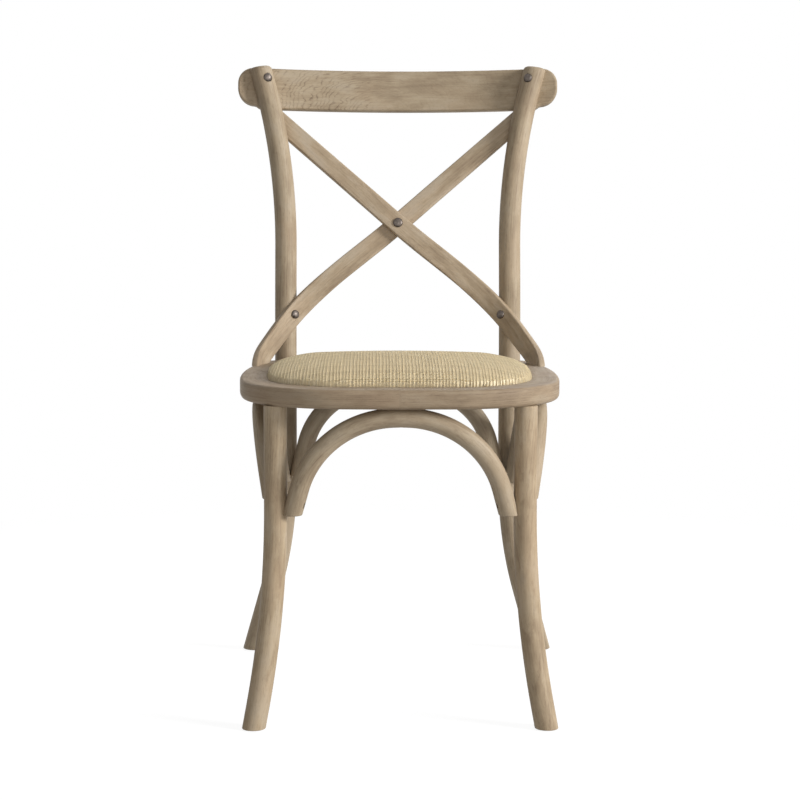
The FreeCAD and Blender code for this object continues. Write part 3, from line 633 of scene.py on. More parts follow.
def make_rail():
    """The bowed top rail with rounded ears and edges."""
    points = []
    grain = []

    def add(x, depth, z):
        points.append(rail_point(x, depth, z))
        grain.append((z, depth, x))
        return len(points) - 1

    levels = rail_levels()
    loops = []
    for inset, depth in levels:
        top, low = rail_edge_chains(inset)
        loops.append([add(x, depth, z) for x, z in top + low[-2:0:-1]])
    faces = strip_faces(len(loops), len(loops[0]))
    for (inset, depth), loop in ((levels[0], loops[0]), (levels[-1], loops[-1])):
        top, low = rail_edge_chains(inset)
        count = len(top)
        low_index = [loop[0]] + [loop[-i] for i in range(1, count - 1)] + [loop[count - 1]]
        columns = []
        for i in range(count):
            column = [loop[i]]
            for row in range(1, RAIL_ROWS):
                x, z = [blend(top[i][k], low[i][k], row / RAIL_ROWS) for k in (0, 1)]
                column.append(add(x, depth, z) if 0 < i < count - 1 else loop[i])
            columns.append(column + [low_index[i]])
        for left, right in zip(columns, columns[1:]):
            for row in range(RAIL_ROWS):
                corners = (left[row], left[row + 1], right[row + 1], right[row])
                corners = tuple(dict.fromkeys(corners))
                if len(corners) > 2:
                    faces.append(corners)
    return new_piece("top_rail_oak", points, faces, np.array(grain) + np.array(RAIL_GRAIN_START))


# Crossed strips
BRACE_CROSSING_Z = 655 * MM
BRACE_SCREW_Z = 522 * MM
BRACE_SCREW_X = 155 * MM
BRACE_TOP_TURN = math.radians(-9)
BRACE_MIDDLE_TURN = math.radians(16)
BRACE_SCREW_TURN = math.radians(40)
BRACE_FOOT_TURN = math.radians(54)
BRACE_LOWER_RISE = 5.5 * MM  # How far the run below the crossing swells above a straight line
SWELL_PEAK = 4 / 27  # The highest value of run ** 2 * (1 - run)
BRACE_FOOT_DEPTH = 352 * MM
BRACE_FOOT_INSET = 13.5 * MM
BRACE_NOTCH = 3 * MM
BRACE_STRAIGHT_RUN = 60 * MM
BRACE_PAST_POST = 10 * MM
BRACE_RAIL_CLEARANCE = 1 * MM
BRACE_CROSSING_GAP = 0.4 * MM
BRACE_ROUNDING = 2.2 * MM
BRACE_CORNER_STEPS = 4
BRACE_FACE_STEPS = 4
BRACE_SAMPLES = 150
BRACE_SEARCH_ROUNDS = 20
# Stations between the crossing and the posts: (place, what is left of the step at the crossing)
BRACE_UPPER_STATION = (0.55, 0.6)
BRACE_LOWER_STATION = (0.62, 0.5)
# The swoop from the post to the seat: its stations, how early it turns out, how far it dips and
# how much it leans
SWOOP_SHARES = (0.25, 0.5, 0.75, 1.0, 1.3)
SWOOP_EASE = 1.8
SWOOP_DIP = 0.14
SWOOP_LEAN = 0.8


def brace_height(x):
    """Height of a strip's straight run, with x counted towards its lower end."""
    return BRACE_CROSSING_Z - (BRACE_CROSSING_Z - BRACE_SCREW_Z) / BRACE_SCREW_X * x


def brace_normal(turn, lean):
    return Vector((-math.sin(turn), -math.cos(turn), lean)).normalized()


def brace_post_gap():
    s = sizes()
    return (s.post_diameter + s.brace_thickness) / 2 - BRACE_NOTCH


def brace_top():
    """Middle of the strip on the back of the post at its upper end."""
    line = post_line(1)
    post = point_at_height(line, brace_height(-sizes().post_x))
    for _ in range(BRACE_SEARCH_ROUNDS):
        post = point_at_height(line, brace_height(-post.x))
    return Vector((-post.x, post.y + brace_post_gap(), post.z))


def brace_at_post():
    """Middle of the strip on the front of its lower post."""
    post = point_at_height(post_line(1), BRACE_SCREW_Z)
    reach = math.sqrt(brace_post_gap() ** 2 - (post.x - BRACE_SCREW_X) ** 2)
    return Vector((BRACE_SCREW_X, post.y - reach, post.z))


def brace_slope():
    fall = brace_top() - brace_at_post()
    return fall.y / fall.z


def brace_screw_normal():
    return brace_normal(BRACE_SCREW_TURN, brace_slope() * SWOOP_LEAN)


def brace_crossing():
    low = brace_at_post()
    return Vector((0, low.y + brace_slope() * (BRACE_CROSSING_Z - low.z), BRACE_CROSSING_Z))


def brace_foot():
    """Middle of the strip's foot on top of the seat ring."""
    x = SEAT_HALF_WIDTH - BRACE_FOOT_INSET - sizes().brace_thickness / 2
    return Vector((x, SEAT_FRONT + BRACE_FOOT_DEPTH, SEAT_TOP))


def brace_stations(offset):
    """Centre points and face directions of a strip that comes down on the right."""
    top = brace_top()
    low = brace_at_post()
    slope = brace_slope()
    crossing = brace_crossing()
    step_back = offset * math.hypot(1, slope)
    stations = []

    def straight(x, step_share, turn=0.0):
        run = max(x / low.x, 0.0)
        swell = run ** 2 * (1 - run) / SWELL_PEAK
        z = brace_height(x) + BRACE_LOWER_RISE * swell
        y = crossing.y + slope * (z - crossing.z) + step_back * step_share
        stations.append((Vector((x, y, z)), brace_normal(turn, slope)))

    upper_place, upper_step = BRACE_UPPER_STATION
    lower_place, lower_step = BRACE_LOWER_STATION
    straight(top.x - sizes().brace_top_width, 0.0, BRACE_TOP_TURN)
    straight(top.x, 0.0, BRACE_TOP_TURN)
    straight(top.x * upper_place, upper_step, BRACE_TOP_TURN)
    for x in (-BRACE_STRAIGHT_RUN / 2, 0.0, BRACE_STRAIGHT_RUN / 2):
        straight(x, 1.0)
    straight(low.x * lower_place, lower_step, BRACE_MIDDLE_TURN)
    stations.append((low, brace_screw_normal()))
    swoop = brace_foot() - low
    for share in SWOOP_SHARES:
        left = 1 - min(share, 1.0)
        out = 1 - left ** SWOOP_EASE
        down = share + SWOOP_DIP * math.sin(share * math.pi)
        point = low + Vector((swoop.x * out, swoop.y * share, swoop.z * down))
        turn = blend(BRACE_SCREW_TURN, BRACE_FOOT_TURN, out)
        stations.append((point, brace_normal(turn, slope * SWOOP_LEAN * left)))
    return stations


def spline(vectors, places, samples):
    """Natural cubic spline through vectors at rising places, as points at the samples."""
    values = np.array([tuple(vector) for vector in vectors])
    gaps = np.diff(places)
    count = len(values)
    matrix = np.eye(count)
    right = np.zeros_like(values)
    for i in range(1, count - 1):
        matrix[i, i - 1:i + 2] = gaps[i - 1], 2 * (gaps[i - 1] + gaps[i]), gaps[i]
        right[i] = 6 * ((values[i + 1] - values[i]) / gaps[i]
                        - (values[i] - values[i - 1]) / gaps[i - 1])
    bends = np.linalg.solve(matrix, right)
    result = []
    for place in samples:
        i = int(np.clip(np.searchsorted(places, place) - 1, 0, count - 2))
        a = (places[i + 1] - place) / gaps[i]
        b = 1 - a
        curve = ((a ** 3 - a) * bends[i] + (b ** 3 - b) * bends[i + 1]) * gaps[i] ** 2 / 6
        result.append(Vector(a * values[i] + b * values[i + 1] + curve))
    return result


def rounded_section(width, thickness):
    """Outline (across, through) of a flat strip with rounded corners."""
    outline = []
    for sx, sy, start in ((1, 1, 0), (-1, 1, 90), (-1, -1, 180), (1, -1, 270)):
        centre = (sx * (width / 2 - BRACE_ROUNDING), sy * (thickness / 2 - BRACE_ROUNDING))
        outline += arc_points(centre, BRACE_ROUNDING, start, start + 90, BRACE_CORNER_STEPS)
        if sx == sy:
            along = -sx * (width - 2 * BRACE_ROUNDING)
            flat_y = outline[-1][1]
            outline += [(centre[0] + along * i / BRACE_FACE_STEPS, flat_y)
                        for i in range(1, BRACE_FACE_STEPS)]
    return outline


def cut_flat(work, point, outward):
    """Cuts away what lies beyond a plane and closes the cut."""
    geometry = work.verts[:] + work.edges[:] + work.faces[:]
    cut = bmesh.ops.bisect_plane(work, geom=geometry, dist=CUT_TOLERANCE, plane_co=point,
                                 plane_no=outward, clear_outer=True)
    edges = [item for item in cut["geom_cut"] if isinstance(item, bmesh.types.BMEdge)]
    if edges:
        bmesh.ops.contextual_create(work, geom=edges)


def make_brace(name, side, offset, grain_offset):
    """A flat strip, cut flat on the seat, under the rail and beside the post."""
    s = sizes()
    centres, facings = zip(*brace_stations(offset))
    places = np.array(running_lengths(centres))
    samples = np.linspace(0, places[-1], BRACE_SAMPLES)
    line = [sided(point, side) for point in spline(centres, places, samples)]
    normals = [sided(normal, side) for normal in spline(facings, places, samples)]
    top_x = centres[0].x
    run = brace_at_post().x - top_x
    points = []
    for (tangent, _, _), point, normal in zip(line_frames(line), line, normals):
        across = normal.cross(tangent).normalized()
        face = tangent.cross(across).normalized()
        share = min(max((point.x * side - top_x) / run, 0.0), 1.0)
        width = blend(s.brace_top_width, s.brace_foot_width, share)
        section = rounded_section(width, s.brace_thickness)
        points += [point + across * u + face * v for u, v in section]
    faces = strip_faces(len(line), len(section))
    close_flat(faces, len(points), len(section))
    piece = new_piece(name, points, faces)
    rail_low = Vector((0, 0, -s.rail_width / 2 - BRACE_RAIL_CLEARANCE))
    beyond_x = (brace_top().x - BRACE_PAST_POST) * side
    work = bmesh.new()
    work.from_mesh(piece.data)
    cut_flat(work, Vector((0, 0, SEAT_TOP)), -UP)
    cut_flat(work, rail_middle() + lean_turn() @ rail_low, lean_turn() @ UP)
    cut_flat(work, RIGHT * beyond_x, RIGHT * -side)
    work.to_mesh(piece.data)
    work.free()
    shade(piece)
    store_grain(piece, line, grain_offset, normals[0])
    return piece


# Seat ring. Corners are (front radius, rear radius).
WIDEST_DEPTH = 222 * MM
FRONT_RADIUS = 1500 * MM
SIDE_RADIUS = 790 * MM
RING_CORNERS = (146 * MM, 26 * MM)
PAD_CORNERS = (112 * MM, 60 * MM)
RING_MARGIN = 39 * MM
REBATE_DEPTH = 13 * MM
LEDGE_WIDTH = 13 * MM
RING_TOP_ROUNDING = 5 * MM
RING_BOTTOM_ROUNDING = 7 * MM
RING_FLAT = (14 * MM, 10 * MM)
LIP = 1.2 * MM
LIP_STEPS = 2
LEAST_CORNER = 2 * MM
ARC_STEPS = 28
REAR_STEPS = 12
RING_GRAIN_START = (0.05, 0.02)
RING_GRAIN_CORNER = 20 * MM


def seat_outline(inset, corners, z):
    """Closed plan outline of the seat in touching arcs, moved in from the ring's outer edge."""
    front_corner_radius, rear_corner_radius = corners
    front_radius = FRONT_RADIUS - inset
    side_radius = SIDE_RADIUS - inset
    front_centre = Vector((0, SEAT_FRONT + FRONT_RADIUS, 0))
    side_centre = Vector((SEAT_HALF_WIDTH - SIDE_RADIUS, SEAT_FRONT + WIDEST_DEPTH, 0))
    first = front_radius - front_corner_radius
    second = side_radius - front_corner_radius
    apart = side_centre - front_centre
    along = (first ** 2 - second ** 2 + apart.length ** 2) / (2 * apart.length)
    aside = math.sqrt(first ** 2 - along ** 2)
    base = front_centre + apart.normalized() * along
    offset = Vector((-apart.y, apart.x, 0)).normalized() * aside
    front_corner = min(base + offset, base - offset, key=lambda point: point.y)
    rear_y = SEAT_BACK - inset
    rise = rear_y - rear_corner_radius - side_centre.y
    reach = math.sqrt((side_radius - rear_corner_radius) ** 2 - rise ** 2)
    rear_corner = Vector((side_centre.x + reach, rear_y - rear_corner_radius, 0))

    def heading(centre, point):
        away = point - centre
        return math.degrees(math.atan2(away.y, away.x))

    front_turn = heading(front_centre, front_corner)
    side_turn = heading(side_centre, front_corner)
    rear_turn = heading(side_centre, rear_corner)
    right = arc_points(front_centre, front_radius, -90, front_turn, ARC_STEPS)
    right += arc_points(front_corner, front_corner_radius, front_turn, side_turn, ARC_STEPS)[1:]
    right += arc_points(side_centre, side_radius, side_turn, rear_turn, ARC_STEPS)[1:]
    right += arc_points(rear_corner, rear_corner_radius, rear_turn, 90, ARC_STEPS // 2)[1:]
    rear_x = right[-1][0]
    right += [(rear_x * (1 - i / REAR_STEPS), rear_y) for i in range(1, REAR_STEPS + 1)]
    left = [(-x, y) for x, y in reversed(right[1:-1])]
    return [Vector((x, y, z)) for x, y in right + left]


def pad_outline(inset, z, clearance=0.0):
    """Outline of the pad's opening, moved in from the rebate's wall; a clearance moves it in
    further and keeps the radii of its corners."""
    front, rear = PAD_CORNERS
    corners = (front - inset, max(rear - inset, LEAST_CORNER))
    return seat_outline(RING_MARGIN + clearance + inset, corners, z)


def make_ring():
    """The seat ring with rounded edges and its rebate for the pad."""
    front, rear = RING_CORNERS
    ledge = SEAT_TOP - REBATE_DEPTH
    outer = [(RING_BOTTOM_ROUNDING * (1 - math.sin(angle)),
              RING_BOTTOM + RING_BOTTOM_ROUNDING * (1 - math.cos(angle)))
             for angle in quarter_turn(ROUNDING_STEPS)]
    outer += [(RING_TOP_ROUNDING * (1 - math.cos(angle)),
               SEAT_TOP - RING_TOP_ROUNDING * (1 - math.sin(angle)))
              for angle in quarter_turn(ROUNDING_STEPS)]
    outer.append((RING_FLAT[0], SEAT_TOP))
    inner = [(-RING_FLAT[1], SEAT_TOP)]
    inner += [(-LIP * (1 - math.sin(angle)), SEAT_TOP - LIP * (1 - math.cos(angle)))
              for angle in quarter_turn(LIP_STEPS)]
    inner += [(0, ledge), (LEDGE_WIDTH - LIP, ledge), (LEDGE_WIDTH, ledge - LIP),
              (LEDGE_WIDTH, RING_BOTTOM + LIP), (LEDGE_WIDTH - LIP, RING_BOTTOM),
              (0, RING_BOTTOM)]
    loops = [seat_outline(inset, (front - inset, rear - inset), z) for inset, z in outer]
    loops += [pad_outline(inset, z) for inset, z in inner]
    sides = len(loops[0])
    points = [point for loop in loops for point in loop]
    wrapped = strip_faces(len(loops) + 1, sides)
    faces = [tuple(index % len(points) for index in face) for face in wrapped]
    middle = seat_outline(RING_MARGIN / 2, (front - RING_MARGIN / 2, RING_GRAIN_CORNER), SEAT_TOP)
    lengths = running_lengths(middle)
    insets = [inset for inset, _ in outer] + [RING_MARGIN + inset for inset, _ in inner]
    grain = [(inset + RING_GRAIN_START[0], loop[0].z - RING_BOTTOM + RING_GRAIN_START[1], length)
             for inset, loop in zip(insets, loops) for length in lengths]
    return new_piece("seat_ring_oak", points, faces, grain, sharp_degrees=50)


# Node helpers
class NodeWriter:
    """Adds nodes to a tree and wires them as it goes."""

    def __init__(self, tree):
        self.tree = tree

    def add(self, kind, inputs=None, **settings):
        node = self.tree.nodes.new(kind)
        for name, value in settings.items():
            setattr(node, name, value)
        for key, value in (inputs or {}).items():
            self.feed(node.inputs[key], value)
        return node

    def feed(self, socket, value):
        """Sets an input to a value, or links it to a socket or to a node's first output."""
        if isinstance(value, bpy.types.Node):
            value = value.outputs[0]
        if isinstance(value, bpy.types.NodeSocket):
            self.tree.links.new(value, socket)
        else:
            socket.default_value = value

    def math(self, operation, first, second=0.0, clamp=False):
        return self.add("ShaderNodeMath", {0: first, 1: second}, operation=operation,
                        use_clamp=clamp).outputs[0]

    def plus(self, first, second, clamp=False):
        return self.math("ADD", first, second, clamp)

    def minus(self, first, second):
        return self.math("SUBTRACT", first, second)

    def times(self, first, second):
        return self.math("MULTIPLY", first, second)

    def scaled(self, vector, factors):
        return self.add("ShaderNodeVectorMath", {0: vector, 1: factors},
                        operation="MULTIPLY").outputs[0]

    def split(self, vector):
        return self.add("ShaderNodeSeparateXYZ", {"Vector": vector}).outputs

    def attribute(self, name):
        return self.add("ShaderNodeAttribute", attribute_name=name).outputs

    def millimetres(self):
        """Place on the object, in millimetres."""
        place = self.add("ShaderNodeTexCoord").outputs["Object"]
        return self.scaled(place, (1000, 1000, 1000))

    def noise(self, vector, grain_sizes, detail=2.0, roughness=0.5):
        """Noise with a grain size along each axis, in the units of the vector."""
        vector = self.scaled(vector, [1 / size for size in grain_sizes])
        return self.add("ShaderNodeTexNoise", {"Vector": vector, "Scale": 1.0, "Detail": detail,
                                               "Roughness": roughness}).outputs["Fac"]

    def between(self, value, low, high, out_low=0.0, out_high=1.0):
        """A soft step from one output to another while the value goes from low to high."""
        return self.add("ShaderNodeMapRange",
                        {"Value": value, "From Min": low, "From Max": high,
                         "To Min": out_low, "To Max": out_high},
                        interpolation_type="SMOOTHSTEP").outputs["Result"]

    def mix(self, share, first, second):
        return self.add("ShaderNodeMix", {"Factor": share, "A": first, "B": second},
                        data_type="RGBA").outputs["Result"]


def rgba(colour, strength=1.0, tint=(1.0, 1.0, 1.0)):
    return (*(value * share * strength for value, share in zip(colour, tint)), 1.0)


class Finish(NodeWriter):
    """A material with one principled shader, and the nodes that feed it."""

    def __init__(self, name):
        self.material = bpy.data.materials.new(name)
        self.material.use_nodes = True
        self.material.node_tree.nodes.clear()
        super().__init__(self.material.node_tree)
        self.shader = self.add("ShaderNodeBsdfPrincipled")
        self.output = self.add("ShaderNodeOutputMaterial", {"Surface": self.shader})

    def surface(self, colour, roughness, height, strength, distance, **inputs):
        """Feeds the shader, with a bump from a height."""
        bump = self.add("ShaderNodeBump",
                        {"Strength": strength, "Distance": distance, "Height": height})
        inputs.update({"Base Color": colour, "Roughness": roughness, "Normal": bump})
        for key, value in inputs.items():
            self.feed(self.shader.inputs[key.replace("_", " ")], value)
        return self.material


# Oak
def oak_figure_group():
    """Growth rings, pores, streaks and patches of oak, from grain coordinates in metres."""
    tree = bpy.data.node_groups.new("Oak Figure", "ShaderNodeTree")
    for name, kind in (("Grain", "Vector"), ("Pith", "Vector"), ("Pith Drift", "Vector"),
                       ("Ring Width", "Float"), ("Waviness", "Float"), ("Wobble", "Float")):
        tree.interface.new_socket(name, in_out="INPUT", socket_type="NodeSocket" + kind)
    for name in ("Rings", "Pores", "Streaks", "Patches", "Height"):
        tree.interface.new_socket(name, in_out="OUTPUT", socket_type="NodeSocketFloat")
    writer = NodeWriter(tree)
    given = writer.add("NodeGroupInput").outputs
    grain = writer.scaled(given["Grain"], (1000, 1000, 1000))
    x, y, z = writer.split(grain)
    pith_x, pith_y, pith_z = writer.split(given["Pith"])
    drift_x, drift_y, _ = writer.split(given["Pith Drift"])

    # Rings lie round the pith, which drifts sideways along the grain; noise makes them wander
    along = writer.minus(z, pith_z)
    away_x, away_y = [writer.minus(writer.minus(place, pith), writer.times(along, drift))
                      for place, pith, drift in ((x, pith_x, drift_x), (y, pith_y, drift_y))]
    squares = writer.plus(writer.times(away_x, away_x), writer.times(away_y, away_y))
    slow = writer.noise(grain, (34, 34, 150))
    wander = writer.times(writer.minus(slow, 0.5), given["Waviness"])
    distance = writer.plus(writer.math("SQRT", squares), wander)
    uneven = writer.times(writer.math("SINE", writer.times(distance, 0.23)), 1.6)
    fine = writer.noise(grain, (6, 6, 14), 3.0)
    distance = writer.plus(distance, writer.times(fine, given["Wobble"]))
    distance = writer.plus(distance, uneven)
    phase = writer.math("FRACT", writer.math("DIVIDE", distance, given["Ring Width"]))

    # Late wood closes each ring and is broken into dashes; early wood has most of the pores
    late = writer.times(writer.between(phase, 0.55, 0.93), writer.between(phase, 1.0, 0.93))
    dashes = writer.noise(grain, (7, 7, 12), 3.0, 0.6)
    late = writer.times(late, writer.between(dashes, 0.38, 0.62, 0.15, 1.0))
    early = writer.between(phase, 0.45, 0.1)
    dots = writer.noise(grain, (0.5, 0.5, 6), 1.0)
    pores = writer.times(writer.between(dots, 0.55, 0.66),
                         writer.plus(writer.times(early, 0.6), 0.4))
    streaks = writer.noise(grain, (2.2, 2.2, 55), 4.0, 0.6)
    patches = writer.noise(grain, (24, 24, 75), 4.0, 0.6)
    height = writer.minus(writer.times(streaks, 0.5), pores)
    height = writer.plus(height, writer.times(late, 0.3))
    writer.add("NodeGroupOutput", {"Rings": late, "Pores": pores, "Streaks": streaks,
                                   "Patches": patches, "Height": height})
    return tree


def limed_oak(name, pith, drift, ring_width=3.0, waviness=5.0, wobble=1.5, tone=1.0,
              wash=0.35, figure=0.3, fade=None, tint=(1.0, 1.0, 1.0)):
    """Oak with a greyish limed finish; its figure follows the grain and can fade along it."""
    writer = Finish(name)
    c = colours()
    grain = writer.attribute("grain")["Vector"]
    tree = bpy.data.node_groups.get("Oak Figure") or oak_figure_group()
    out = writer.add("ShaderNodeGroup",
                     {"Grain": grain, "Pith": pith, "Pith Drift": drift, "Ring Width": ring_width,
                      "Waviness": waviness, "Wobble": wobble}, node_tree=tree).outputs
    light = rgba(c.oak_light, tone, tint)
    share = writer.times(out["Rings"], figure)
    if fade:
        along = writer.split(grain)["Z"]
        share = writer.times(share, writer.between(along, *fade, 0.25, 1.0))
    share = writer.plus(share, writer.between(out["Streaks"], 0.35, 0.75, 0.0, 0.22))
    share = writer.plus(share, writer.between(out["Patches"], 0.62, 0.3, 0.0, 0.42), clamp=True)
    colour = writer.mix(share, light, rgba(c.oak_dark, tone, tint))
    colour = writer.mix(writer.between(out["Patches"], 0.45, 0.7, 0.0, wash), colour,
                        rgba(c.lime_wash, tone))
    warmth = writer.noise(grain, (1 / 16, 1 / 16, 1 / 9), 3.0)
    colour = writer.mix(writer.between(warmth, 0.46, 0.66, 0.0, 0.35), colour,
                        rgba(light, tint=(0.95, 0.89, 0.87)))
    colour = writer.mix(writer.times(out["Pores"], 0.3), colour, rgba(c.oak_dark, tone * 0.75))
    roughness = writer.between(out["Streaks"], 0.2, 0.8, 0.52, 0.7)
    return writer.surface(colour, roughness, out["Height"], strength=0.35, distance=0.25 * MM,
                          Specular_IOR_Level=0.35)


# Other finishes
def rattan_material(name, along_depth, tone=1.0):
    """Peeled rattan: pale straw strands, each its own shade, with fine fibres."""
    writer = Finish(name)
    c = colours()
    place = writer.millimetres()
    fibres = writer.noise(place, (0.4, 18, 3) if along_depth else (18, 0.4, 3), 3.0)
    patches = writer.noise(place, (30, 45, 30))
    own = writer.attribute("strand_shade")["Fac"]
    share = writer.plus(writer.between(own, 0.35, 1.0, 0.0, 0.55),
                        writer.between(fibres, 0.45, 0.75, 0.0, 0.45), clamp=True)
    share = writer.plus(share, writer.between(patches, 0.5, 0.8, 0.0, 0.25), clamp=True)
    colour = writer.mix(share, rgba(c.rattan_light, tone), rgba(c.rattan_dark, tone))
    roughness = writer.between(fibres, 0.2, 0.8, 0.45, 0.65)
    return writer.surface(colour, roughness, fibres, strength=0.3, distance=0.1 * MM,
                          Specular_IOR_Level=0.4)


def nonwoven_material(name, colour):
    """Nonwoven cloth with a fine dimpled grid."""
    writer = Finish(name)
    place = writer.millimetres()
    felt = writer.noise(place, (1.2, 1.2, 1.2), 3.0)
    dimples = writer.add("ShaderNodeTexVoronoi", {"Vector": place, "Scale": 0.8})
    height = writer.plus(writer.times(felt, 0.5), dimples.outputs["Distance"])
    mixed = writer.mix(writer.between(felt, 0.35, 0.7), rgba(colour), rgba(colour, 2.0))
    return writer.surface(mixed, writer.between(felt, 0.2, 0.8, 0.8, 0.95), height,
                          strength=0.4, distance=0.15 * MM)


def metal_material(name, colour, roughness=0.38):
    """Metal with a dark patina, rubbed lighter in spots."""
    writer = Finish(name)
    place = writer.millimetres()
    patina = writer.noise(place, (3, 3, 3), 4.0)
    scratches = writer.noise(place, (0.3, 2.5, 0.3))
    mixed = writer.mix(writer.between(patina, 0.45, 0.75, 0.0, 0.7), rgba(colour),
                       rgba(colour, 2.2))
    rough = writer.between(patina, 0.3, 0.7, roughness, roughness + 0.18)
    return writer.surface(mixed, rough, scratches, strength=0.2, distance=0.05 * MM,
                          Metallic=0.85)


def matt_material(name, colour):
    """A mottled matt finish for parts that are out of sight."""
    writer = Finish(name)
    mottle = writer.noise(writer.millimetres(), (2, 14, 2), 3.0)
    mixed = writer.mix(writer.between(mottle, 0.3, 0.7), rgba(colour, 0.85), rgba(colour))
    return writer.surface(mixed, writer.between(mottle, 0.2, 0.8, 0.6, 0.8), mottle,
                          strength=0.3, distance=0.1 * MM)


def run_nodes(piece, material, inputs, build):
    """Runs geometry nodes on a piece and keeps the result.

    An input is (name, kind of socket, value). The function build adds the nodes from the piece's
    own geometry to the new one, which then gets the material.
    """
    tree = bpy.data.node_groups.new(piece.name + " nodes", "GeometryNodeTree")
    tree.interface.new_socket("Base", in_out="INPUT", socket_type="NodeSocketGeometry")
    tree.interface.new_socket("Result", in_out="OUTPUT", socket_type="NodeSocketGeometry")
    values = {}
    for name, kind, value in [*inputs, ("Finish", "Material", material)]:
        socket = tree.interface.new_socket(name, in_out="INPUT", socket_type="NodeSocket" + kind)
        values[socket.identifier] = value
    writer = NodeWriter(tree)
    given = writer.add("NodeGroupInput").outputs
    realized = writer.add("GeometryNodeRealizeInstances", {"Geometry": build(writer, given)})
    finished = writer.add("GeometryNodeSetMaterial",
                          {"Geometry": realized, "Material": given["Finish"]})
    writer.add("NodeGroupOutput", {"Result": finished})
    modifier = piece.modifiers.new("nodes", "NODES")
    modifier.node_group = tree
    for identifier, value in values.items():
        modifier[identifier] = value
    apply_modifiers(piece)


# Rattan pad
PAD_CLEARANCE = 0.4 * MM
COVER_THICKNESS = 1.4 * MM
CROWN_EXTRA = 1.2 * MM
CROWN_POWER = 0.3
CROWN_RUN = 130 * MM
CROWN_START = 3.2 * MM
CROWN_STEPS = 22
CROWN_SPREAD = 1.7
PAD_HALF_WIDTH = 170 * MM
PAD_BULGE = 5 * MM
PAD_SHOULDER = 40 * MM
# The pad's outside as (inset, height), first from its underside, then from the seat's top
PAD_UNDERSIDE = ((22 * MM, 0), (2.5 * MM, 0), (1.3 * MM, 0.8 * MM), (0.9 * MM, 1.6 * MM))
PAD_EDGE = ((0.8 * MM, 0), (1.0 * MM, 3.5 * MM), (1.7 * MM, 6.5 * MM))
PAD_TOP_SHARES = (0.8, 0.6, 0.4, 0.2)
PAD_BOTTOM = SEAT_TOP - REBATE_DEPTH + 0.3 * MM
WEAVE_SEED = 7
STRAND_STEPS = 3
WARP_LIFT = 0.52
WEFT_LIFT = 0.38
STRAND_SWAY = 0.12
STRAND_WAVER = 0.05
STRAND_WAVER_RATE = 0.21
STRAND_END_DEPTH = 0.6 * MM
STRAND_LEAST_CROSSINGS = 3
# A strand's end as (millimetres outward, share of its height that it falls)
STRAND_TUCK = ((0.5, 0.35), (0.8, 0.8), (0.9, 1.3))


def crown_z(run):
    """Height of the pad's surface at a run in from its edge: steep, then ever flatter."""
    crown = COVER_TOP - SEAT_TOP + CROWN_EXTRA
    return SEAT_TOP + crown * min(run / PAD_HALF_WIDTH, 1.0) ** CROWN_POWER


def bulged(point, share):
    across = min(abs(point.x) / PAD_HALF_WIDTH, 1.0)
    return point + UP * PAD_BULGE * share * (1 - across ** 2)


def make_pad(name, skin, bottom):
    """The stuffed pad below the weave: a dome with a rounded shoulder, closed underneath."""
    stations = [(inset, bottom + skin + rise, 0.0) for inset, rise in PAD_UNDERSIDE]
    stations += [(inset, SEAT_TOP + rise, 0.0) for inset, rise in PAD_EDGE]
    for i in range(CROWN_STEPS + 1):
        run = blend(CROWN_START, CROWN_RUN, (i / CROWN_STEPS) ** CROWN_SPREAD)
        stations.append((run, crown_z(run), smooth_step(run / PAD_SHOULDER)))
    loops = []
    for inset, z, bulge in stations:
        outline = pad_outline(inset + skin, z - skin, PAD_CLEARANCE)
        loops.append([bulged(point, bulge) for point in outline])
    top = loops[-1]
    sides = len(top)
    centre = Vector((0, sum(point.y for point in top) / sides,
                     crown_z(PAD_HALF_WIDTH) + PAD_BULGE - skin))
    for share in PAD_TOP_SHARES:
        level = crown_z(blend(PAD_HALF_WIDTH, CROWN_RUN, share)) - skin
        flat = [centre.lerp(point, share) for point in top]
        loops.append([bulged(Vector((p.x, p.y, level)), 1.0) for p in flat])
    points = [point for loop in loops for point in loop]
    faces = strip_faces(len(loops), sides)
    close_with_fan(points, faces, (len(loops) - 1) * sides, sides, centre)
    close_with_fan(points, faces, 0, sides, Vector((0, centre.y, points[0].z)))
    return new_piece(name, points, faces)


def tucked_end(line):
    """Points that lead a strand from its first point over the pad's edge into the gap."""
    outward = line[0] - line[1]
    outward.z = 0
    outward.normalize()
    drop = line[0].z - SEAT_TOP
    return [line[0] + outward * out * MM - UP * drop * fall for out, fall in STRAND_TUCK]


def strand_lines(pad, along_depth, rng):
    """Centre lines of the strands one way, over and under those of the other way."""
    s = sizes()
    tree = BVHTree.FromObject(pad, bpy.context.evaluated_depsgraph_get())
    pitch = s.strand_pitch
    lift = s.strand_thickness * (WARP_LIFT if along_depth else WEFT_LIFT)
    counts = [int(2 * SEAT_HALF_WIDTH / pitch), int((SEAT_BACK - SEAT_FRONT) / pitch)]
    across_count, along_count = counts if along_depth else counts[::-1]
    lines = []
    for i in range(across_count):
        sway = rng.uniform(-STRAND_SWAY, STRAND_SWAY) * pitch
        shade_value = rng.random()
        line = []
        for k in range(along_count * STRAND_STEPS):
            place = k / STRAND_STEPS
            waver = STRAND_WAVER * pitch * math.sin(place * STRAND_WAVER_RATE + i)
            x, y = i * pitch + sway + waver, place * pitch
            if not along_depth:
                x, y = y, x
            hit = tree.ray_cast(Vector((x - SEAT_HALF_WIDTH, y + SEAT_FRONT, 1)), -UP)[0]
            if hit is None or hit.z < SEAT_TOP - STRAND_END_DEPTH:
                continue
            wave = math.cos(math.pi * (place + i)) * (1 if along_depth else -1)
            line.append(hit + UP * lift * (1 + wave))
        if len(line) > STRAND_LEAST_CROSSINGS * STRAND_STEPS:
            lines.append((tucked_end(line)[::-1] + line + tucked_end(line[::-1]), shade_value))
    return lines


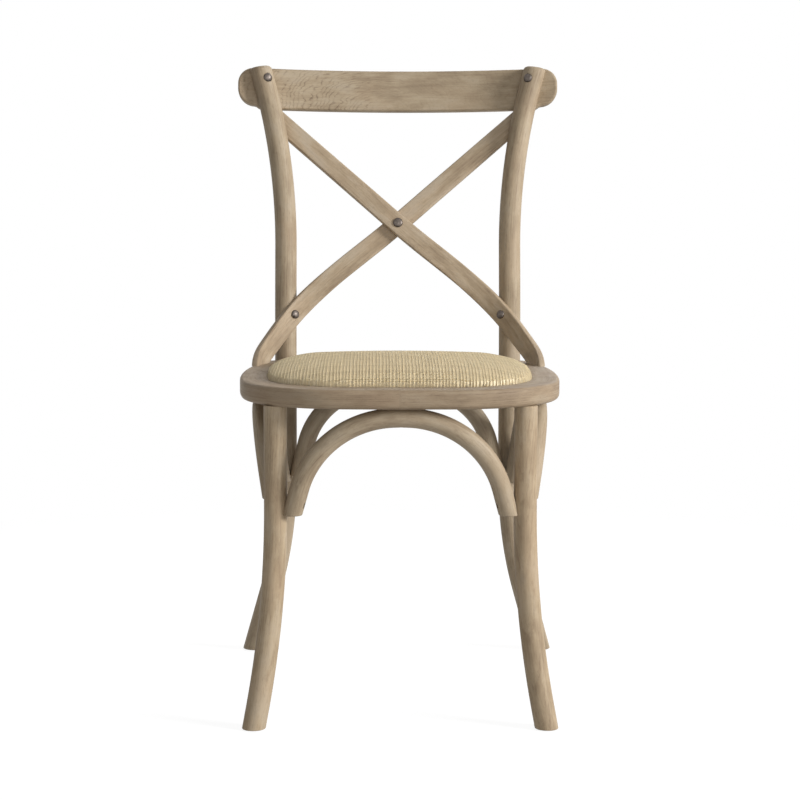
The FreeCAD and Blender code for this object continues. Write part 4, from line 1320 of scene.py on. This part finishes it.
def make_strands(name, pad, along_depth, material, rng):
    """All strands that run one way, as one woven layer."""
    points = []
    edges = []
    shades = []
    for line, shade_value in strand_lines(pad, along_depth, rng):
        first = len(points)
        points += line
        shades += [shade_value] * len(line)
        edges += [(first + i, first + i + 1) for i in range(len(line) - 1)]
    piece = link_mesh(name, points, edges)
    keep_values(piece, "strand_shade", shades, "FLOAT")

    def build(writer, given):
        curves = writer.add("GeometryNodeMeshToCurve", {"Mesh": given["Base"]})
        upright = writer.add("GeometryNodeSetCurveNormal", {"Curve": curves}, mode="Z_UP")
        section = writer.add("GeometryNodeCurvePrimitiveQuadrilateral",
                             {"Width": given["Thickness"], "Height": given["Width"]})
        return writer.add("GeometryNodeCurveToMesh",
                          {"Curve": upright, "Profile Curve": section, "Fill Caps": True})

    s = sizes()
    run_nodes(piece, material, [("Width", "Float", s.strand_width),
                                ("Thickness", "Float", s.strand_thickness)], build)
    shade(piece, sharp_degrees=60)
    return piece


# Underside
CLOTH_INSET = LEDGE_WIDTH + 1.5 * MM
CLOTH_WALL = 0.4 * MM
CLOTH_SHARES = (0.0, 0.06, 0.15, 0.3, 0.5, 0.7, 0.85)
CLOTH_SAG = 0.9 * MM
CLOTH_MIDDLE_SAG = 1.0 * MM
CLOTH_RIPPLE = 0.25 * MM
CLOTH_RIPPLE_RATE = 0.55
CLOTH_RIPPLE_FADE = 6
STAPLE_INSET = LEDGE_WIDTH + 7 * MM
STAPLE_CORNER_INSET = 20 * MM
STAPLE_DROP = 0.5 * MM
STAPLE_WIDTH = 9 * MM
STAPLE_WIRE = 0.8 * MM


def make_underside_cloth():
    """Thin cloth stapled below the board, with a little slack, and its outline."""
    outline = pad_outline(CLOTH_INSET, CLOTH_BOTTOM)
    sides = len(outline)
    centre = Vector((0, sum(point.y for point in outline) / sides, CLOTH_BOTTOM))
    points = []
    for share in CLOTH_SHARES:
        for i, point in enumerate(outline):
            placed = point.lerp(centre, share)
            ripple = math.sin(i * CLOTH_RIPPLE_RATE) * math.exp(-CLOTH_RIPPLE_FADE * share)
            sag = CLOTH_SAG * math.sin(share * math.pi / 2)
            placed.z = CLOTH_BOTTOM + CLOTH_RIPPLE * ripple - sag
            points.append(placed)
    faces = strip_faces(len(CLOTH_SHARES), sides)
    close_with_fan(points, faces, (len(CLOTH_SHARES) - 1) * sides, sides,
                   centre - UP * CLOTH_MIDDLE_SAG)
    piece = new_piece("underside_fabric", points, faces)
    wall = piece.modifiers.new("wall", "SOLIDIFY")
    wall.thickness = CLOTH_WALL
    wall.offset = 0
    apply_modifiers(piece)
    shade(piece)
    return piece, outline


def make_staples(material):
    """Staples along the cloth's edge."""
    corners = [radius - STAPLE_CORNER_INSET for radius in PAD_CORNERS]
    edge = seat_outline(RING_MARGIN + STAPLE_INSET, corners, CLOTH_BOTTOM - STAPLE_DROP)
    count = len(edge)
    piece = link_mesh("staples", edge, [(i, (i + 1) % count) for i in range(count)])

    def build(writer, given):
        curve = writer.add("GeometryNodeMeshToCurve", {"Mesh": given["Base"]})
        spots = writer.add("GeometryNodeCurveToPoints",
                           {"Curve": curve, "Length": given["Spacing"]}, mode="LENGTH").outputs
        size = writer.add("ShaderNodeCombineXYZ",
                          {"X": given["Wire"], "Y": given["Wire"], "Z": given["Width"]})
        bar = writer.add("GeometryNodeMeshCylinder", {"Vertices": 8, "Radius": 0.5, "Depth": 1.0})
        sized = writer.add("GeometryNodeTransform", {"Geometry": bar, "Scale": size})
        return writer.add("GeometryNodeInstanceOnPoints",
                          {"Points": spots["Points"], "Instance": sized,
                           "Rotation": spots["Rotation"]})

    run_nodes(piece, material, [("Spacing", "Float", sizes().staple_spacing),
                                ("Width", "Float", STAPLE_WIDTH),
                                ("Wire", "Float", STAPLE_WIRE)], build)
    return piece


# Fasteners
DOME_DIAMETER = 13 * MM
DOME_HEIGHT = 4 * MM
DOME_RIM_SHARE = 0.22
DOME_CROWN_SHARE = 0.03
DOME_STEPS = 8
DOME_LENGTH = 28 * MM
CENTRE_DOME_DIAMETER = 14.5 * MM
CENTRE_LENGTH = 9 * MM
DOME_SINK_IN_POST = 1.6 * MM
DOME_SINK_IN_STRIP = 0.4 * MM
SCREW_DIAMETER = 4.5 * MM
SCREW_TIP_RADIUS = 0.3 * MM
RAIL_SCREW_ABOVE = 18 * MM
RAIL_SCREW_TURN = math.radians(28)
ARCH_SCREW_ABOVE_END = 14 * MM
ARCH_SCREW_RECESS = 6 * MM
FLAT_HEAD_DIAMETER = 8 * MM
FLAT_HEAD_HEIGHT = 2.5 * MM
FLAT_SCREW_DIAMETER = 4 * MM
FLAT_SCREW_LENGTH = 26 * MM
FOOT_SCREW_LENGTH = 38 * MM
FLAT_SCREW_SIDES = 24
# The rim of a flat head: (inset, height) of its softened lower edge, then its upper edge and
# the radius where its flat middle starts
FLAT_HEAD_LOWER_EDGE = (0.2 * MM, 0.3 * MM)
FLAT_HEAD_EDGE = 0.5 * MM
FLAT_HEAD_MIDDLE = 0.4 * MM
DRILL_DEPTH = 15 * MM
DOME_PLAY = 1.2 * MM
FLAT_HEAD_PLAY = 0.5 * MM


def shank_profile(diameter, length):
    return [(SCREW_TIP_RADIUS, -length), (diameter / 2, -length + diameter), (diameter / 2, 0)]


def domed_profile(diameter, length):
    """A domed head with a small rim on a plain shank, from the tip up to the crown."""
    radius = diameter / 2
    rim = DOME_HEIGHT * DOME_RIM_SHARE
    dome = [(radius * math.cos(angle), rim + (DOME_HEIGHT - rim) * math.sin(angle))
            for angle in quarter_turn(DOME_STEPS)[:-1]]
    crown = (radius * DOME_CROWN_SHARE, DOME_HEIGHT)
    return shank_profile(SCREW_DIAMETER, length) + [(radius, 0)] + dome + [crown]


def flat_profile(length):
    """A flat head with a softened rim on a plain shank."""
    radius = FLAT_HEAD_DIAMETER / 2
    top = FLAT_HEAD_HEIGHT
    inset, height = FLAT_HEAD_LOWER_EDGE
    return shank_profile(FLAT_SCREW_DIAMETER, length) + [
        (radius - inset, 0), (radius, height), (radius, top - FLAT_HEAD_EDGE),
        (radius - FLAT_HEAD_EDGE, top), (FLAT_HEAD_MIDDLE, top)]


def make_fasteners(name, node, places, profile, material, sides=32):
    """Like fasteners, turned from one profile; a place is (seat point, outward direction)."""
    points = []
    for radius, height in profile:
        points += circle(UP * height, RIGHT, BACK, radius, sides)
    faces = strip_faces(len(profile), sides)
    close_flat(faces, len(points), sides)
    form = new_piece(name + "_form", points, faces)
    seats, directions = zip(*places)
    piece = link_mesh(name, seats)
    keep_values(piece, "facing", [tuple(direction) for direction in directions])

    def build(writer, given):
        pattern = writer.add("GeometryNodeObjectInfo", {"Object": given["Form"]}).outputs
        facing = writer.add("GeometryNodeInputNamedAttribute", {"Name": "facing"},
                            data_type="FLOAT_VECTOR")
        turn = writer.add("FunctionNodeAlignRotationToVector", {"Vector": facing}, axis="Z")
        return writer.add("GeometryNodeInstanceOnPoints",
                          {"Points": given["Base"], "Instance": pattern["Geometry"],
                           "Rotation": turn})

    run_nodes(piece, material, [("Form", "Object", form)], build)
    bpy.data.objects.remove(form)
    shade(piece, sharp_degrees=40)
    finish_piece(piece, material, "dark_steel", node)


def rail_screw_place():
    """Seat and outward direction of the right-hand screw through the post into the rail."""
    s = sizes()
    post = point_at_height(post_line(1), rail_middle().z + RAIL_SCREW_ABOVE)
    level = math.cos(RAIL_SCREW_TURN)
    inward = Vector((math.sin(RAIL_SCREW_TURN), level, -math.tan(s.back_lean) * level))
    inward.normalize()
    return post - inward * (s.post_diameter / 2 - DOME_SINK_IN_POST), -inward


def arch_screw_places(kind):
    """Seats and outward directions of the screws through an arch's ends on the right."""
    if kind == "front_arch":
        ends = [(front_arch_line()[::-1], front_leg_line(1), ARCH_END)]
    elif kind == "rear_arch":
        ends = [(rear_arch_line()[::-1], post_line(1), ARCH_END)]
    else:
        ends = [(side_arch_line(1), front_leg_line(1), SIDE_ARCH_ENDS[0]),
                (side_arch_line(1)[::-1], post_line(1), SIDE_ARCH_ENDS[1])]
    places = []
    for line, member, end_z in ends:
        middle = point_at_height(line, end_z + ARCH_SCREW_ABOVE_END)
        inward = (point_at_height(member, middle.z) - middle).normalized()
        seat = middle - inward * (sizes().arch_diameter / 2 - ARCH_SCREW_RECESS)
        places.append((seat, -inward))
    return places


def arch_apex_seat(kind):
    """Seat of the screw from below through an arch's top into the ring, on the right."""
    z = arch_top() - sizes().arch_diameter / 2 + ARCH_SCREW_RECESS
    if kind == "side_arch":
        line = side_arch_line(1)
        return Vector((SEAT_HALF_WIDTH - SIDE_ARCH[0], (line[0].y + line[-1].y) / 2, z))
    depth = FRONT_ARCH[0] if kind == "front_arch" else REAR_ARCH[0]
    return Vector((0, SEAT_FRONT + depth, z))


def counterbores(kind, sides):
    """Holes for the screws at the ends and at the top of an arch."""
    middles = [(seat + outward * DRILL_DEPTH, outward)
               for seat, outward in both_sides(arch_screw_places(kind), sides)]
    middles.append((sided(arch_apex_seat(kind), sides[0]) - UP * DRILL_DEPTH, UP))
    return [(middle, outward, FLAT_HEAD_DIAMETER + FLAT_HEAD_PLAY, DRILL_DEPTH)
            for middle, outward in middles]


# Operators
SIDES = (("left", -1), ("right", 1))


class CHAIR_OT_posts(bpy.types.Operator):
    """Make both rear legs with their back posts"""

    bl_idname = "chair.posts"
    bl_label = "Rear Legs and Posts"

    def execute(self, context):
        material = limed_oak("limed_oak_post", (46, 12, 0), (0.015, 0.03, 0), ring_width=3.4,
                             tone=0.98)
        seat, outward = rail_screw_place()
        for name, side in SIDES:
            line = post_line(side)
            piece = make_rod("rear_post_oak_" + name, line, sizes().post_diameter,
                             level_end(FOOT_BOTTOM, -UP, FOOT_ROUNDING), post_top_end(line))
            spot = sided(seat + outward * DRILL_DEPTH, side)
            drill(piece, [(spot, sided(outward, side), DOME_DIAMETER + DOME_PLAY, DRILL_DEPTH)])
            store_grain(piece, line, (0.01 * side, 0.02, 0.3 * side), RIGHT)
            finish_piece(piece, material, "oak", "rear_post_" + name)
        return {"FINISHED"}


class CHAIR_OT_front_legs(bpy.types.Operator):
    """Make both front legs"""

    bl_idname = "chair.front_legs"
    bl_label = "Front Legs"

    def execute(self, context):
        material = limed_oak("limed_oak_leg", (20, 26, 120), (0.03, 0.07, 0), ring_width=4.0,
                             waviness=7.0, figure=0.32, tint=(1.0, 0.97, 0.93))
        for name, side in SIDES:
            line = front_leg_line(side)
            piece = make_rod("front_leg_oak_" + name, line, sizes().leg_diameter,
                             level_end(FOOT_BOTTOM, -UP, FOOT_ROUNDING),
                             level_end(LEG_TOP, UP, FOOT_ROUNDING))
            store_grain(piece, line, (0.013 * side, 0.004, 0.7 * side), RIGHT)
            finish_piece(piece, material, "oak", "front_leg_" + name)
        return {"FINISHED"}


class CHAIR_OT_arches(bpy.types.Operator):
    """Make the four bent arches under the seat"""

    bl_idname = "chair.arches"
    bl_label = "Arches"

    def execute(self, context):
        material = limed_oak("limed_oak_arch", (34, 18, 0), (0.02, 0.02, 0), tone=0.94)
        arches = (("front_arch", "front_arch", front_arch_line(), (1, -1)),
                  ("rear_arch", "rear_arch", rear_arch_line(), (1, -1)),
                  ("side_arch_left", "side_arch", side_arch_line(-1), (-1,)),
                  ("side_arch_right", "side_arch", side_arch_line(1), (1,)))
        for i, (node, kind, line, sides) in enumerate(arches):
            levels = SIDE_ARCH_ENDS if kind == "side_arch" else (ARCH_END, ARCH_END)
            start, end = [level_end(z, -UP, ARCH_END_ROUNDING) for z in levels]
            piece = make_rod(node + "_oak", line, sizes().arch_diameter, start, end)
            drill(piece, counterbores(kind, sides))
            store_grain(piece, line, (0.011 * i, 0.006 * i, 0.9 * i))
            finish_piece(piece, material, "oak", node)
        return {"FINISHED"}


class CHAIR_OT_rail(bpy.types.Operator):
    """Make the bowed top rail"""

    bl_idname = "chair.rail"
    bl_label = "Top Rail"

    def execute(self, context):
        material = limed_oak("limed_oak_rail", (278, 70, 385), (0.0, 0.62, 0), ring_width=4.4,
                             waviness=26.0, wobble=7.0, figure=0.6, fade=(0.4, 0.33))
        finish_piece(make_rail(), material, "oak", "top_rail")
        return {"FINISHED"}


class CHAIR_OT_braces(bpy.types.Operator):
    """Make the two crossed strips"""

    bl_idname = "chair.braces"
    bl_label = "Crossed Strips"

    def execute(self, context):
        material = limed_oak("limed_oak_strip", (40, 60, 0), (0.02, 0.03, 0), ring_width=5.5,
                             waviness=6.0, tone=1.06, figure=0.22, wash=0.5,
                             tint=(1.0, 0.985, 0.985))
        offset = (sizes().brace_thickness + BRACE_CROSSING_GAP) / 2
        for node, side, step, grain_offset in (
                ("cross_brace_front", 1, -offset, (0.02, 0.01, 0.1)),
                ("cross_brace_rear", -1, offset, (0.05, 0.02, 0.9))):
            piece = make_brace(node + "_oak", side, step, grain_offset)
            finish_piece(piece, material, "oak", node)
        return {"FINISHED"}


class CHAIR_OT_seat_ring(bpy.types.Operator):
    """Make the seat ring"""

    bl_idname = "chair.seat_ring"
    bl_label = "Seat Ring"

    def execute(self, context):
        material = limed_oak("limed_oak_ring", (64, -30, 0), (0.01, 0.015, 0), ring_width=3.2,
                             tone=0.77, wash=0.25, tint=(1.02, 0.97, 0.94))
        finish_piece(make_ring(), material, "oak", "seat_ring")
        return {"FINISHED"}


class CHAIR_OT_pad(bpy.types.Operator):
    """Make the stuffed pad and weave its rattan cover"""

    bl_idname = "chair.pad"
    bl_label = "Rattan Pad"

    def execute(self, context):
        pad = make_pad("pad_body", 0.0, PAD_BOTTOM)
        foam = make_pad("pad_foam", COVER_THICKNESS, BOARD_TOP)
        rng = random.Random(WEAVE_SEED)
        for name, along_depth, tone in (("rattan_warp", True, 1.0), ("rattan_weft", False, 0.92)):
            material = rattan_material(name, along_depth, tone)
            strands = make_strands(name, pad, along_depth, material, rng)
            finish_piece(strands, material, "rattan")
        finish_piece(pad, rattan_material("rattan_backing", True, 0.95), "rattan", "rattan_cover")
        finish_piece(foam, matt_material("foam", (0.75, 0.7, 0.52)), "foam", "seat_foam")
        return {"FINISHED"}


class CHAIR_OT_underside(bpy.types.Operator):
    """Make the cloth under the seat and its staples"""

    bl_idname = "chair.underside"
    bl_label = "Underside Cloth"

    def execute(self, context):
        cloth, outline = make_underside_cloth()
        finish_piece(cloth, nonwoven_material("black_nonwoven", (0.012, 0.012, 0.013)),
                     "cloth", "underside_cloth")
        width, depth = [max(p[i] for p in outline) - min(p[i] for p in outline) for i in (0, 1)]
        wire = metal_material("staple_wire", (0.45, 0.45, 0.46), 0.3)
        finish_piece(make_staples(wire), wire, "dark_steel")
        return {"FINISHED"}


class CHAIR_OT_screws(bpy.types.Operator):
    """Make the domed and the flat headed screws"""

    bl_idname = "chair.screws"
    bl_label = "Screws"

    def execute(self, context):
        self.make_domed(metal_material("antique_screw", colours().screw_metal))
        self.make_flat(metal_material("plain_screw", (0.3, 0.29, 0.27), 0.32))
        return {"FINISHED"}

    def make_domed(self, material):
        s = sizes()
        domed = domed_profile(DOME_DIAMETER, DOME_LENGTH)
        make_fasteners("rail_screw_heads", "rail_screws", both_sides([rail_screw_place()]),
                       domed, material)
        above = s.brace_thickness / 2 - DOME_SINK_IN_STRIP
        normal = brace_screw_normal()
        lower = both_sides([(brace_at_post() + normal * above, normal)])
        make_fasteners("brace_screw_heads", "brace_lower_screws", lower, domed, material)
        facing = brace_normal(0, brace_slope())
        upper = both_sides([(brace_top() - facing * above, -facing)])
        make_fasteners("brace_top_screw_heads", "brace_upper_screws", upper, domed, material)
        reach = s.brace_thickness + BRACE_CROSSING_GAP / 2 - DOME_SINK_IN_STRIP
        centre = domed_profile(CENTRE_DOME_DIAMETER, CENTRE_LENGTH)
        for node, outward in (("centre_screw", facing), ("centre_nut", -facing)):
            place = (brace_crossing() + outward * reach, outward)
            make_fasteners(node + "_head", node, [place], centre, material)

    def make_flat(self, material):
        kinds = ("front_arch", "rear_arch", "side_arch")
        ends = both_sides([place for kind in kinds for place in arch_screw_places(kind)])
        foot = Vector((brace_foot().x, brace_foot().y, RING_BOTTOM))
        front, rear, side = [(arch_apex_seat(kind), -UP) for kind in kinds]
        for name, node, places, length in (
                ("arch_end_screw_heads", "arch_end_screws", ends, FLAT_SCREW_LENGTH),
                ("brace_foot_screw_heads", "brace_foot_screws", both_sides([(foot, -UP)]),
                 FOOT_SCREW_LENGTH),
                ("arch_top_screw_heads", "arch_top_screws", [front, rear] + both_sides([side]),
                 FLAT_SCREW_LENGTH)):
            make_fasteners(name, node, places, flat_profile(length), material, FLAT_SCREW_SIDES)


class CHAIR_OT_hidden(bpy.types.Operator):
    """Finish the board, the bolts and the glides, which keep their own shapes"""

    bl_idname = "chair.hidden"
    bl_label = "Inner Parts and Glides"

    def execute(self, context):
        zinc = metal_material("zinc_hardware", (0.42, 0.41, 0.39), 0.3)
        plastic = matt_material("glide_plastic", (0.3, 0.24, 0.175))
        plywood = matt_material("plywood", (0.5, 0.38, 0.24))
        glides = ["foot_glide_" + end + "_" + side
                  for end in ("front", "rear") for side, _ in SIDES]
        for nodes, material in ((["seat_board"], plywood), (glides, plastic),
                                (["pad_screws", "post_bolts", "post_washers", "post_nuts"], zinc)):
            for node in nodes:
                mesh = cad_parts[node].data
                mesh.materials.clear()
                mesh.materials.append(material)
        return {"FINISHED"}


# Stage: a lamp is (place, size, the setting that holds its power)
LAMPS = {
    "key": ((5.9, -2.6, 2.8), 2.4, "key_power"),
    "fill": ((0.5, -3.4, 0.9), 2.4, "fill_power"),
    "back": ((0.6, 2.4, 2.4), 2.0, "fill_power"),
}
LAMP_AIM = Vector((0, 0, 0.45))
FLOOR_REACH = 12.0
FLOOR_FADE = (0.6, 1.6)
FLOOR_GLOW = (1.48, 1.0)
FLOOR_GLOW_SHARE = (0.6, 1.0)
FLOOR_ROUGHNESS = 0.9
SENSOR_WIDTH = 36.0
PICTURE_WIDTH = 800
CAMERA_REACH = 50


def seen_directly(writer):
    """One for rays that see a surface or its reflection, nothing for those that light others."""
    path = writer.add("ShaderNodeLightPath").outputs
    seen = writer.math("MAXIMUM", path["Is Camera Ray"], path["Is Glossy Ray"])
    return writer.math("MAXIMUM", seen, path["Is Transmission Ray"])


class CHAIR_OT_stage(bpy.types.Operator):
    """Make the floor, the lamps and the camera"""

    bl_idname = "chair.stage"
    bl_label = "Stage"

    def execute(self, context):
        stage = context.scene.chair_stage
        self.make_floor()
        self.make_world(stage)
        for name, (place, size, power) in LAMPS.items():
            self.make_lamp(name, Vector(place), size, getattr(stage, power))
        self.make_camera(stage)
        context.scene.view_settings.view_transform = "Standard"
        return {"FINISHED"}

    def make_floor(self):
        corners = [(x * FLOOR_REACH, y * FLOOR_REACH, 0)
                   for x, y in ((-1, -1), (1, -1), (1, 1), (-1, 1))]
        floor = new_piece("floor", corners, [(0, 1, 2, 3)])
        writer = Finish("pale_floor")
        writer.feed(writer.shader.inputs["Base Color"], rgba(colours().floor_colour))
        writer.feed(writer.shader.inputs["Roughness"], FLOOR_ROUGHNESS)
        place = writer.add("ShaderNodeTexCoord").outputs["Object"]
        away = writer.add("ShaderNodeVectorMath", {0: place}, operation="LENGTH").outputs["Value"]
        glow = writer.between(away, *FLOOR_FADE, *FLOOR_GLOW)
        white = writer.add("ShaderNodeEmission", {"Color": (1, 1, 1, 1), "Strength": glow})
        share = writer.times(seen_directly(writer),
                             writer.between(away, *FLOOR_FADE, *FLOOR_GLOW_SHARE))
        mixed = writer.add("ShaderNodeMixShader", {0: share, 1: writer.shader, 2: white})
        writer.feed(writer.output.inputs["Surface"], mixed)
        floor.data.materials.append(writer.material)

    def make_world(self, stage):
        world = bpy.data.worlds.new("studio")
        bpy.context.scene.world = world
        world.use_nodes = True
        world.node_tree.nodes.clear()
        writer = NodeWriter(world.node_tree)
        strength = writer.between(seen_directly(writer), 0.0, 1.0, stage.world_strength, 1.0)
        light = writer.add("ShaderNodeBackground", {"Color": (1, 1, 1, 1), "Strength": strength})
        writer.add("ShaderNodeOutputWorld", {"Surface": light})

    def make_lamp(self, name, place, size, power):
        lamp = bpy.data.lights.new(name, "AREA")
        lamp.shape = "DISK"
        lamp.size = size
        lamp.energy = power
        piece = link_object(name, lamp)
        piece.location = place
        piece.rotation_euler = (LAMP_AIM - place).to_track_quat("-Z", "Y").to_euler()

    def make_camera(self, stage):
        camera = bpy.data.cameras.new("camera")
        camera.sensor_width = SENSOR_WIDTH
        camera.lens = SENSOR_WIDTH * stage.focal_pixels / PICTURE_WIDTH
        camera.clip_end = CAMERA_REACH
        piece = link_object("camera", camera)
        piece.location = (-stage.camera_aside, SEAT_FRONT - stage.camera_distance,
                          stage.camera_height)
        turn = (Matrix.Rotation(-stage.camera_yaw, 3, "Z")
                @ Matrix.Rotation(math.pi / 2 - stage.camera_pitch, 3, "X")
                @ Matrix.Rotation(stage.camera_roll, 3, "Z"))
        piece.rotation_euler = turn.to_euler()
        bpy.context.scene.camera = piece


class CHAIR_PT_panel(bpy.types.Panel):
    """Lists the chair's pieces and settings"""

    bl_label = "Cross Back Chair"
    bl_idname = "CHAIR_PT_panel"
    bl_space_type = "VIEW_3D"
    bl_region_type = "UI"
    bl_category = "Chair"

    def draw(self, context):
        for operator in OPERATORS:
            self.layout.operator(operator.bl_idname)
        for name in SETTINGS:
            box = self.layout.box()
            group = getattr(context.scene, name)
            for setting in group.__annotations__:
                box.prop(group, setting)


OPERATORS = (CHAIR_OT_posts, CHAIR_OT_front_legs, CHAIR_OT_arches, CHAIR_OT_rail, CHAIR_OT_braces,
             CHAIR_OT_seat_ring, CHAIR_OT_pad, CHAIR_OT_underside, CHAIR_OT_screws,
             CHAIR_OT_hidden, CHAIR_OT_stage)
SETTINGS = {"chair_sizes": ChairSizes, "chair_colours": ChairColours, "chair_stage": StageSettings}
CLASSES = (*SETTINGS.values(), *OPERATORS, CHAIR_PT_panel)


def register():
    for item in CLASSES:
        bpy.utils.register_class(item)
    for name, group in SETTINGS.items():
        setattr(bpy.types.Scene, name, PointerProperty(type=group))


def unregister():
    for name in SETTINGS:
        delattr(bpy.types.Scene, name)
    for item in reversed(CLASSES):
        bpy.utils.unregister_class(item)


def main():
    register()
    for operator in OPERATORS:
        area, name = operator.bl_idname.split(".")
        getattr(getattr(bpy.ops, area), name)()


if __name__ == "__main__":
    main()
